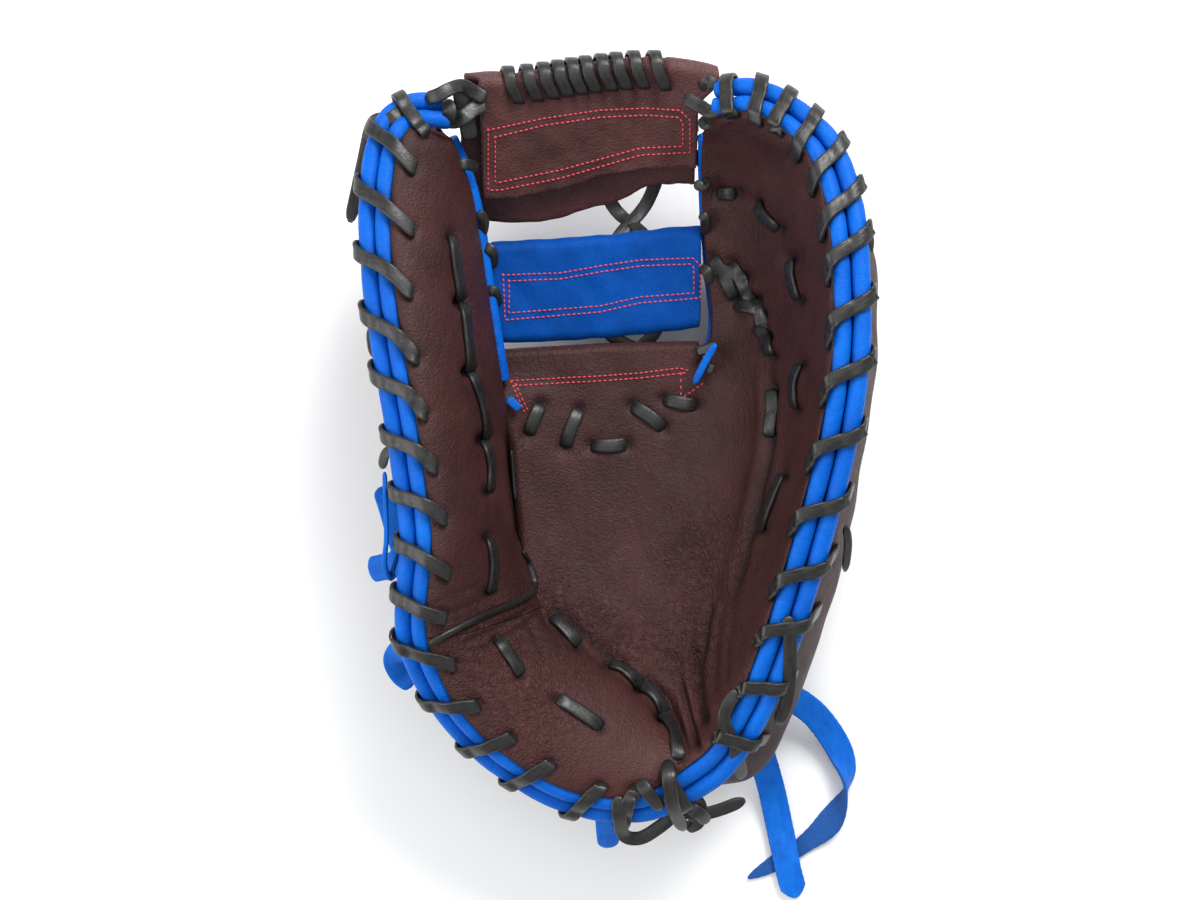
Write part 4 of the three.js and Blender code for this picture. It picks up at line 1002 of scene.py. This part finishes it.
def add_thumb_pad():
    us = np.linspace(THUMB_FIRST, THUMB_LAST - 0.03, 200)
    ts = np.linspace(0, 0.99, 69)
    u, t = np.meshgrid(us, ts, indexing="ij")
    points, faces, first = weld([pad_point(u, t)])
    directions, free, dark = (values[first] for values in near_rim(u, t))
    raised, painted_shade, bent = worked_surface(points)
    raised = (raised + uneven(points, 14, 0.25)) * free
    every, made = wall(points, faces, pad_thickness(u, t).reshape(-1)[first], raised, directions, 0.06)
    # Painted shade darkens the creases, the lace holes and the pad's edge beside the binding
    piece = add_mesh("thumb_panel", every, made, palm_leather,
                     pad_marks(every, np.maximum(painted_shade, dark), np.zeros(len(points)), bent))
    fit(piece, "brown", "thumb_pad")
    return every, made


palm_skin = add_palm()
thumb_skin = add_thumb_pad()


# ---- Backs ----

def add_back(name, rows, replaced):
    us = np.linspace(rows[0, 0], rows[-1, 0], int((rows[-1, 0] - rows[0, 0]) * 14))
    ts = np.linspace(0, 1, 64)
    u, t = np.meshgrid(us, ts, indexing="ij")
    points, faces, first = weld([back_point(rows, u, t)])
    raised = -uneven(points, 18, 0.35) * smooth(0.5, 4, points[:, 2])
    folded = (points[:, 2] < 0.5) & (point_normals(points, faces)[:, 2] < 0)
    every, made = wall(points, faces, np.full(len(points), -BACK_THICK), raised, np.where(folded[:, None], UP, 0))
    fit(add_mesh(name, every, made, back_leather, plain_marks(every)), "brown", replaced)


add_back("thumb_shell", THUMB_BACK, "thumb_back")
add_back("finger_shell", FINGER_BACK, "finger_back")


def add_wrist_strap():
    middle, half, wide = 0.28 * LENGTH, 34.0, 46.0
    height = BACK_THICK + CLEAR + 1.3
    xs = np.linspace(-half, half, 60)
    path = np.stack((xs, np.full(60, middle), np.full(60, height)), -1)
    strip = strap(path, np.tile((0.0, 1.0, 0.0), (60, 1)), wide, 2.6, 0.2, 28)
    piece = add_straps("wrist_band", [strip], back_leather)
    fit(piece, "brown", "wrist_strap")


add_wrist_strap()


# ---- Bindings ----

def pinched(us, crossings, radius, press=0.10, reach=0.16):
    made = np.full(len(us), radius)
    for at in crossings:
        made -= radius * press * np.exp(-((us - at) / reach) ** 2)
    return made


def add_rim_binding(name, side, share, replaced):
    us = np.linspace(0, LAST_STATION, 621)
    path = rim_point(us, np.full(us.size, side * BINDING_OFFSET), np.zeros(us.size))
    radius = pinched(us, [palm + (back - palm) * share for palm, back, _ in RIM_LACES], BINDING_R)
    points, faces = swept(path, rim_frame(us)[2], 2 * radius, 2 * radius, square=1.0, sides=24)
    along = np.concatenate((np.repeat(us, 24), (us[0], us[-1])))
    # Painted shade: the binding is darkened under each rim lace that crosses it
    painted_shade = np.zeros(len(points))
    for palm, back, _ in RIM_LACES:
        painted_shade += 0.35 * np.exp(-((along - palm - (back - palm) * share) / 0.17) ** 2)
    piece = add_mesh(name, points, faces, binding_leather,
                     {"painted_shade": np.clip(painted_shade, 0, 1), "warm": np.zeros(len(points))})
    fit(piece, "blue", replaced)


add_rim_binding("rim_binding_palm", 1, 0.55, "palm_binding")
add_rim_binding("rim_binding_back", -1, 0.75, "back_binding")


def add_inner_binding(name, first, last, inward, down, replaced):
    us = np.linspace(first, last, 180)
    toward = foot_of_pad(us) - rim_middle(us)
    toward[:, 2] = 0
    toward = unit(toward)
    path = foot_of_pad(us) + toward * inward - UP * down
    points, faces = swept(path, toward, 2 * INNER_BINDING_R, 2 * INNER_BINDING_R, square=1.0, sides=20)
    fit(add_mesh(name, points, faces, binding_leather, plain_marks(points)), "blue", replaced)


add_inner_binding("thumb_edge_binding", THUMB_FIRST, 5.3, 0.5, INNER_BINDING_R + CLEAR, "thumb_inner_binding")
add_inner_binding("finger_edge_binding", 24.6, FINGER_LAST, -1.0,
                  PAD_EDGE_THICK + INNER_BINDING_R + 3 * CLEAR, "finger_inner_binding")


# ---- Web bars ----

def half_turn(center, radius, start, steps):
    angle = np.linspace(0, np.pi, steps + 1)
    return [(center + radius * math.sin(start + a), -radius + radius * math.cos(start + a)) for a in angle]


def bar_grid(bar, profile_of, count):
    rows = []
    for index in np.linspace(0, len(bar["rows"]) - 1, count):
        low, up, out, length, back_edge = bar_frame(bar, index)
        profile = np.array(profile_of(float(length), float(back_edge), float(index)))
        section = low + up * profile[:, :1] + out * profile[:, 1:]
        start, stop = 1 - smooth(0, 1.6, index), smooth(len(bar["rows"]) - 2.6, len(bar["rows"]) - 1, index)
        folded = 1.0 - bar["open"] * (1 - smooth(0.62, 0.92, profile[:, 0] / length))
        section[:, 0] += folded * (bar["flare"][1] * stop - bar["flare"][0] * start)
        behind = smooth(0.4, 1.2, -profile[:, 1] / bar["radius"])
        lower = np.clip(1 - profile[:, 0] / length, 0, 1)
        section[:, 0] -= bar["open"] * (6.5 + 5 * lower) * start * behind
        rows.append(section)
    return np.stack(rows)


def top_bar_profile(length, back_edge, index):
    r = TOP_BAR_R
    fold = length - r
    wave = 0.35 * math.sin(index * 4.1) + 0.2 * math.sin(index * 9.3 + 1)
    front = [(along, 0.0) for along in np.linspace(wave, fold, 44)[:-1]]
    back = [(along, -2 * r) for along in np.linspace(fold, back_edge + 0.6 * wave, 40)[1:]]
    return front + half_turn(fold, r, 0, 14) + back


def sleeve_profile(length, back_edge, index):
    r = SLEEVE_R
    fold = length - r
    front = [(along, 0.0) for along in np.linspace(r, fold, 30)[1:-1]]
    back = [(along, -2 * r) for along in np.linspace(fold, r, 30)[1:-1]]
    return front + half_turn(fold, r, 0, 12) + back + half_turn(r, r, math.pi, 12) + front[:1]


def add_bar(name, bar, profile_of, finish, slot, replaced, count):
    points, faces, _ = weld([bar_grid(bar, profile_of, count)])
    raised = uneven(points, 9, 0.30)
    if bar is BARS["top"]:
        for x in TOP_WRAPS:
            press = np.exp(-((points[:, 0] - (x - 0.01) * WIDTH) / 2.6) ** 2)
            raised -= 1.0 * press * smooth(0.90, 0.975, points[:, 1] / LENGTH)
    every, made = wall(points, faces, np.full(len(points), BAR_WALL), raised)
    fit(add_mesh(name, every, made, finish, plain_marks(every)), slot, replaced)
    return every, made


top_skin = add_bar("web_fold_bar", BARS["top"], top_bar_profile, bar_leather, "brown", "web_top_bar", 180)
sleeve_skin = add_bar("web_sleeve_bar", BARS["middle"], sleeve_profile, sleeve_leather, "web_blue",
                      "web_middle_bar", 140)


# ---- Lacing ----

def wrap_path(palm, back, hole):
    """One wrap of rim lace: out of its hole in the pad, over both bindings, and down onto the back."""
    top = BINDING_R + LACE_LIFT + WRAP_SLACK * 0.4
    diagonal = top * math.sqrt(0.5)

    def at(share):
        return palm + (back - palm) * share

    def on_palm(u, t, lift):
        return pad_point(u, t) + normal_of(pad_point, np.float64(u), np.float64(t)) * lift

    speed = float(np.linalg.norm(pad_point(palm, hole + 0.01) - pad_point(palm, hole))) / 0.01
    path = [
        on_palm(palm - (back - palm) * 0.02, hole + 1.5 / speed, -3.2),
        on_palm(palm, hole + 0.9 / speed, -0.6),
        on_palm(palm, hole, LACE_LIFT * 0.7),
        on_palm(at(0.2), hole / 2, LACE_LIFT),
        rim_point(at(0.4), PANEL_EDGE, top - CLEAR),
        rim_point(at(0.55), BINDING_OFFSET, top),
        rim_point(at(0.65), 0, top - 0.5),
        rim_point(at(0.75), -BINDING_OFFSET, top),
        rim_point(at(0.88), -BINDING_OFFSET - diagonal, diagonal),
        rim_point(back, -BINDING_OFFSET - top, 0),
    ]
    rows = THUMB_BACK if back < HEEL_STATION else FINGER_BACK
    if rows[0, 0] <= back <= rows[-1, 0]:
        def surface(u, t):
            return back_point(rows, u, t)
        normal = normal_of(surface, np.float64(back), np.float64(0.09))
        path += [surface(back, 0.09) - normal * LACE_LIFT, surface(back, 0.12) + normal * 1.5]
    else:
        path += [rim_point(back, -BINDING_OFFSET - diagonal, -diagonal), rim_point(back, -BINDING_OFFSET, -top)]
    return np.array(path)


def add_rim_laces():
    strips = []
    for palm, back, hole in RIM_LACES:
        path = wrap_path(palm, back, hole)
        fine = fine_path(path, 7)
        share = np.linspace(0, 1, len(fine))
        across = rim_frame(palm + (back - palm) * share)[1]
        strips.append(strap(fine, across, LACE_WIDTH, LACE_THICK))
    piece = add_straps("rim_lacing", strips, lace_leather)
    fit(piece, "lace", *[f"rim_lace_{k + 1:02d}" for k in range(len(RIM_LACES))])


def add_top_wraps():
    strips = []
    bar, r = BARS["top"], TOP_BAR_R
    lift = LACE_LIFT + WRAP_SLACK * 0.4
    corner, around = (r + lift) * math.sqrt(0.5), r + lift
    for x in TOP_WRAPS:
        def at(share, along, outward):
            index = bar_index(bar, x + share * TOP_WRAP_SLANT)
            length = float(bar_frame(bar, index)[3])
            return bar_point(bar, index, length + along, outward)
        path = [
            at(-0.1, -TOP_WRAP_FRONT * LENGTH - r - 1.6, -2.6),
            at(0, -TOP_WRAP_FRONT * LENGTH - r, lift * 0.4),
            at(0.1, -TOP_WRAP_FRONT * LENGTH - r + 2, lift),
            at(0.5, -r, lift), at(0.7, -r + corner, -r + corner), at(0.85, -r + around, -r),
            at(1, -r + corner, -r - corner), at(1.2, -r, -2 * r - lift),
            at(1.5, -TOP_WRAP_BACK * LENGTH, -2 * r - lift),
            at(1.6, -TOP_WRAP_BACK * LENGTH - 2.5, -2 * r + 2),
        ]
        fine = fine_path(path, 7)
        across = np.tile((1.0, 0.0, 0.0), (len(fine), 1))
        strips.append(strap(fine, across, LACE_WIDTH - 0.8, LACE_THICK))
    piece = add_straps("web_top_lacing", strips, lace_leather)
    fit(piece, "lace", *[f"top_wrap_{k + 1:02d}" for k in range(len(TOP_WRAPS))])


def add_bar_laces():
    for name, key, along, replaced in (("web_run_lace_top", "top", 0.35, "web_lace_top"),
                                       ("web_run_lace_middle", "middle", 0.50, "web_lace_middle")):
        bar = BARS[key]
        index = np.linspace(0, len(bar["rows"]) - 1, 40)
        low, up, out, length, _ = bar_frame(bar, index)
        inside = low + up * (along * length)[:, None] - out * bar["radius"]
        path = np.concatenate((inside[:1] - (1.5, 0, 0), inside, inside[-1:] + (1.5, 0, 0)))
        ups = np.concatenate((up[:1], up, up[-1:]))
        strip = strap(path, ups, LACE_WIDTH, LACE_THICK)
        fit(add_straps(name, [strip], lace_leather), "lace", replaced)


def add_cross_laces():
    run = np.concatenate((POCKET_TOP["middle"], POCKET_MIDDLE)) * SIZE
    for replaced, shares in CROSS_LACES:
        def behind(bar, share, along):
            index = bar_index(bar, share)
            length = float(bar_frame(bar, index)[3])
            return bar_point(bar, index, along * length, -2 * bar["radius"] - LACE_LIFT - WRAP_SLACK)

        def under_edge(row, share):
            point = through(run, row)
            point[0] = share * WIDTH
            point[2] -= PAD_THICK + 2 * LACE_LIFT
            return point
        path = [behind(BARS["top"], shares[0], 0.3), behind(BARS["top"], shares[1], -0.42),
                behind(BARS["middle"], shares[2], 0.85), behind(BARS["middle"], shares[3], 0.1),
                under_edge(0.3, shares[4]), under_edge(1.4, shares[5])]
        fine = fine_path(path, 10)
        across = np.tile((1.0, 0.0, 0.0), (len(fine), 1))
        strip = strap(fine, across, LACE_WIDTH, LACE_THICK)
        fit(add_straps(replaced + "_leather", [strip], lace_leather), "lace", replaced)


add_rim_laces()
add_top_wraps()
add_bar_laces()
add_cross_laces()

# The face of the mitt, for everything that is laid on it from its place on the plan
face_points, face_faces = joined([palm_skin, thumb_skin, top_skin, sleeve_skin])
FACE = BVHTree.FromPolygons(face_points.tolist(), face_faces)


def on_face(x, y):
    """Place and normal where a plan place lands on the leather."""
    direction = unit(np.array(((x - PLAN_MIDDLE_X) / PLAN_REACH, (PLAN_MIDDLE_Y - y) / PLAN_REACH, -1.0)))
    place, normal, _, _ = FACE.ray_cast(EYE.tolist(), direction.tolist())
    if place is None:
        return None
    return np.array(place), np.array(normal)


def laid_on_face(line, spacing=2.0, curved=True):
    line = fine_path(line, PLAN_STEPS) if curved else np.array(line, float)
    spots = resample(np.concatenate((line, np.zeros((len(line), 1))), 1), spacing)
    landed = [on_face(x, y) for x, y, _ in spots]
    landed = [spot for spot in landed if spot is not None]
    places = np.array([spot[0] for spot in landed])
    normals = np.array([spot[1] for spot in landed])
    for _ in range(3):
        normals[1:-1] = unit(normals[:-2] + 2 * normals[1:-1] + normals[2:])
    return places, normals


def add_face_laces():
    strips = []
    for line in FACE_LACES:
        places, normals = laid_on_face(line, 1.6)
        lift = 0.5 + 0.9 * np.abs(np.sin(np.pi * np.linspace(0, 1, len(places)))) ** 0.5
        lift[:1] = lift[-1:] = -1.6
        path = settled(places + normals * lift[:, None], 2)
        across = np.cross(heading(path), normals)
        strips.append(strap(path, across, LACE_WIDTH, 2.0, 0.5))
    fit(add_straps("face_lacing", strips, lace_leather), "lace")


def add_welts():
    strips = []
    for line, wide in WELTS:
        places, normals = laid_on_face(line, 2.0)
        path = settled(places + normals * 0.9, 6)
        across = np.cross(heading(path), normals)
        strips.append(strap(path, across, wide, 2.0, 0.8, 12))
    fit(add_straps("welt_piping", strips, lace_leather), "lace")


add_face_laces()
add_welts()


# ---- Loose laces, tails and loops, as x and y on the plan with the height in millimetres ----

BLACK_TAILS = {
    "thumb_tip_tail": (((396, 122, 92), (380, 119, 90), (371, 127, 86), (364, 158, 80), (357, 190, 72),
        (350, 222, 62)), 5.4),
    "thumb_tip_loop": (((404, 108, 93), (392, 118, 96), (378, 126, 92), (370, 140, 84), (372, 152, 76)), 5.6),
    "thumb_side_bit": (((384, 322, 92), (372, 332, 86), (374, 357, 74)), 4.2),
    "thumb_low_bit": (((397, 447, 88), (386, 453, 82), (382, 468, 72)), 4.0),
    "finger_side_bit": (((846, 526, 90), (848, 545, 82), (845, 571, 70)), 3.4),
    "finger_mid_bit": (((862, 228, 100), (869, 240, 90), (866, 262, 80)), 4.2),
    "heel_tail": (((664, 792, 76), (676, 806, 68), (694, 814, 63), (716, 811, 60), (745, 800, 56)), 5.4),
    "heel_knot_turn": (((678, 800, 68), (690, 797, 66), (700, 806, 66), (698, 822, 62), (686, 828, 58)), 5.8),
    "heel_knot_back": (((668, 812, 62), (682, 806, 67), (697, 812, 69), (708, 822, 62)), 5.8),
    "heel_cross_turn": (((639, 780, 80), (648, 793, 82), (662, 809, 75)), 5.6),
    "heel_groove_turn": (((668, 760, 77), (669, 780, 83), (673, 806, 77), (684, 830, 60)), 6.0),
    "corner_tuck": (((788, 616, 103), (790, 640, 100.5), (790, 670, 95.8), (787, 700, 88), (778, 724, 80)), 5.6),
    "corner_turn": (((738, 691, 92), (728, 704, 92), (724, 722, 90), (732, 738, 86)), 5.4),
    "corner_tail": (((734, 744, 85), (738, 760, 78), (742, 778, 66)), 5.8),
    "heel_end_loop": (((618, 796, 78), (619, 815, 76), (624, 835, 66), (640, 838, 62), (658, 828, 61),
        (674, 815, 61)), 5.8),
    "web_left_loop_high": (((426, 99, 90), (438, 95, 93), (450, 89, 92), (462, 86, 88), (474, 92, 84),
        (486, 99, 83)), 5.8),
    "web_left_loop_low": (((440, 114, 84), (452, 121, 82), (464, 117, 84), (474, 109, 82), (486, 104, 81)), 6.4),
    "web_left_fill": (((460, 90, 80), (463, 104, 79), (467, 122, 77), (470, 140, 75)), 7.0),
    "web_left_knot": (((446, 100, 88), (450, 112, 90), (446, 124, 86)), 5.6),
    "web_left_band": (((456, 166, 76), (466, 164, 76), (478, 168, 70)), 4.8),
    "web_left_step_one": (((478, 212, 64), (484, 220, 62), (482, 236, 58)), 4.4),
    "web_left_step_two": (((484, 246, 58), (492, 252, 58), (493, 268, 52)), 4.6),
    "web_left_step_three": (((486, 290, 56), (495, 292, 56), (498, 306, 50)), 4.4),
    "web_right_loop_high": (((726, 104, 90), (712, 112, 90), (700, 106, 86), (684, 97, 84)), 5.6),
    "web_right_loop_low": (((716, 86, 88), (708, 82, 88), (700, 88, 84)), 5.4),
    "web_right_band": (((700, 118, 78), (707, 124, 78), (712, 114, 82)), 5.4),
    "web_right_step_one": (((694, 184, 66), (704, 186, 66), (708, 178, 64)), 4.4),
    "web_right_step_two": (((700, 214, 58), (706, 220, 58), (704, 234, 52)), 4.4),
    "web_right_step_three": (((700, 268, 54), (707, 272, 56), (710, 284, 54)), 4.6),
    "web_right_step_four": (((696, 351, 50), (706, 349, 52), (717, 345, 54)), 4.4),
    "web_right_step_five": (((698, 365, 48), (708, 368, 50), (714, 371, 50)), 4.2),
}
BLUE_TAILS = {
    "side_tie_tail": (((404, 560, 78), (395, 532, 74), (388, 508, 68), (381, 487, 64)), 8.0),
    "side_tie_turn": (((412, 562, 80), (398, 564, 78), (384, 567, 75), (369, 570, 72)), 11.0),
    "side_tie_flat": (((400, 548, 80), (394, 558, 77), (384, 566, 72)), 6.0),
    "side_loop": (((408, 644, 72), (397, 652, 66), (394, 662, 60), (401, 675, 56), (414, 684, 56)), 9.0),
    "heel_blue_end": (((601, 786, 74), (603, 800, 70), (606, 816, 64), (607, 830, 58), (609, 847, 50)), 9.4),
    "pocket_corner_left": (((508, 398, 51), (514, 404, 50), (520, 409, 49)), 3.6),
    "pocket_corner_right": (((716, 344, 58), (706, 360, 54), (694, 384, 50)), 3.2),
}


def above(spots):
    """Places on the mitt from rows of plan x, plan y and height in millimetres."""
    spots = np.asarray(spots, float)
    reach = (EYE[2] - spots[:, 2:]) / PLAN_REACH
    level = EYE[:2] + (spots[:, :2] - (PLAN_MIDDLE_X, PLAN_MIDDLE_Y)) * (1, -1) * reach
    return np.concatenate((level, spots[:, 2:]), 1)


def add_tails(name, tails, finish, slot, more=()):
    """Loose laces and tails, each laid along its stated places."""
    strips = []
    for spots, wide in tails.values():
        path = fine_path(above(spots), 8)
        tangent = heading(path)
        across = unit(np.stack((-tangent[:, 1], tangent[:, 0], np.zeros(len(path))), -1))
        strips.append(strap(path, across, wide, LACE_THICK))
    fit(add_straps(name, strips + list(more), finish), slot)


add_tails("loose_lacing", BLACK_TAILS, lace_leather, "lace")
add_tails("blue_tie_turns", BLUE_TAILS, tie_leather, "blue", TIE_ROOTS)


# ---- Blue tie knotted at the thumb side ----

def add_tie_knot():
    outside = BINDING_OFFSET + BINDING_R + 4 * LACE_LIFT
    path = np.array((
        rim_point(7.0, -outside, -2), rim_point(7.5, -outside - 0.5, 0), rim_point(8.0, -outside - 1, 1),
        rim_point(8.4, -outside - 2, 0), rim_point(8.6, -outside - 2, -5), rim_point(8.3, -outside - 2, -9),
    ))
    fine = fine_path(path, 10)
    across = np.tile((0.0, 0.0, 1.0), (len(fine), 1))
    strip = strap(fine, across, LACE_WIDTH, LACE_THICK, 0.4)
    fit(add_straps("thumb_tie_knot", [strip], tie_leather), "blue", "tie_knot")


add_tie_knot()


# ---- Stitching ----

# Runs of stitches, as lines on the plan
STITCHES = (
    ((488, 130), (545, 118), (600, 110), (645, 108), (680, 110), (690, 120), (690, 152), (640, 155), (560, 178),
     (500, 190), (488, 190), (488, 130)),
    ((495, 137), (545, 125), (600, 117), (645, 115), (678, 117), (683, 122), (683, 146), (640, 148), (560, 170),
     (500, 182), (495, 182), (495, 137)),
    ((503, 275), (560, 273), (600, 266), (640, 260), (693, 258), (700, 265), (700, 298), (640, 303), (600, 312),
     (505, 320), (503, 275)),
    ((509, 281), (560, 279), (600, 272), (640, 266), (690, 264), (694, 268), (694, 293), (640, 297), (600, 306),
     (509, 313), (509, 281)),
    ((512, 381), (560, 378), (600, 376), (640, 373), (680, 368), (687, 370)),
    ((515, 386), (560, 383), (600, 381), (640, 378), (684, 373)),
    ((511, 382), (517, 396), (524, 411)),
    ((516, 385), (521, 397), (527, 409)),
    ((681, 374), (681, 394)),
    ((685, 396), (702, 384)),
)


def stitch_tree():
    """Geometry: small thread stitches set head to tail along a line, each turned to the leather's face."""
    tree = bpy.data.node_groups.new("run_of_stitches", "GeometryNodeTree")
    face = tree.interface
    face.new_socket("Geometry", in_out="INPUT", socket_type="NodeSocketGeometry")
    for name in ("Spacing", "Stitch length", "Thread thickness"):
        face.new_socket(name, in_out="INPUT", socket_type="NodeSocketFloat")
    face.new_socket("Thread", in_out="INPUT", socket_type="NodeSocketMaterial")
    face.new_socket("Geometry", in_out="OUTPUT", socket_type="NodeSocketGeometry")
    entry = node(tree, "NodeGroupInput").outputs
    curve = node(tree, "GeometryNodeMeshToCurve", {"Mesh": entry["Geometry"]})
    beads = node(tree, "GeometryNodeCurveToPoints", {"Curve": curve.outputs["Curve"], "Length": entry["Spacing"]},
                 mode="LENGTH")
    along = node(tree, "FunctionNodeAlignRotationToVector", {"Vector": beads.outputs["Tangent"]}, axis="X")
    skyward = node(tree, "GeometryNodeInputNamedAttribute", {"Name": "skyward"}, data_type="FLOAT_VECTOR")
    turned = node(tree, "FunctionNodeAlignRotationToVector",
                  {"Rotation": along.outputs["Rotation"], "Vector": skyward.outputs["Attribute"]},
                  axis="Z", pivot_axis="X")
    thread = node(tree, "GeometryNodeMeshUVSphere", {"Segments": 8, "Rings": 6, "Radius": 0.5})
    size = node(tree, "ShaderNodeCombineXYZ", {0: entry["Stitch length"], 1: entry["Thread thickness"],
                                               2: entry["Thread thickness"]})
    placed = node(tree, "GeometryNodeInstanceOnPoints",
                  {"Points": beads.outputs["Points"], "Instance": thread.outputs["Mesh"],
                   "Rotation": turned.outputs["Rotation"], "Scale": size.outputs["Vector"]})
    real = node(tree, "GeometryNodeRealizeInstances", {"Geometry": placed.outputs["Instances"]})
    coated = node(tree, "GeometryNodeSetMaterial", {"Geometry": real.outputs["Geometry"], "Material": entry["Thread"]})
    node(tree, "NodeGroupOutput", {"Geometry": coated.outputs["Geometry"]})
    return tree


def add_stitches():
    points, normals, edges = [], [], []
    for line in STITCHES:
        places, ups = laid_on_face(line, 2.0, curved=False)
        start = len(points)
        points += ((places + ups * 0.25 + SHIFT) * 0.001).tolist()
        normals += ups.tolist()
        edges += [(start + k, start + k + 1) for k in range(len(places) - 1)]
    lines = bpy.data.meshes.new("stitch_lines")
    lines.from_pydata(points, edges, [])
    layer = lines.attributes.new("skyward", "FLOAT_VECTOR", "POINT")
    layer.data.foreach_set("vector", np.array(normals, np.float32).reshape(-1))
    holder = bpy.data.objects.new("stitch_lines", lines)
    bpy.context.scene.collection.objects.link(holder)
    tree = stitch_tree()
    modifier = holder.modifiers.new("run_of_stitches", "NODES")
    modifier.node_group = tree
    sockets = {item.name: item.identifier for item in tree.interface.items_tree if item.in_out == "INPUT"}
    for socket, value in (("Spacing", 0.0022), ("Stitch length", 0.0017), ("Thread thickness", 0.0007),
                          ("Thread", red_thread)):
        modifier[sockets[socket]] = value
    graph = bpy.context.evaluated_depsgraph_get()
    made = bpy.data.meshes.new_from_object(holder.evaluated_get(graph))
    made.shade_smooth()
    piece = bpy.data.objects.new("red_stitching", made)
    bpy.context.scene.collection.objects.link(piece)
    bpy.data.objects.remove(holder)
    fit(piece, "lace")


add_stitches()
add_studio()
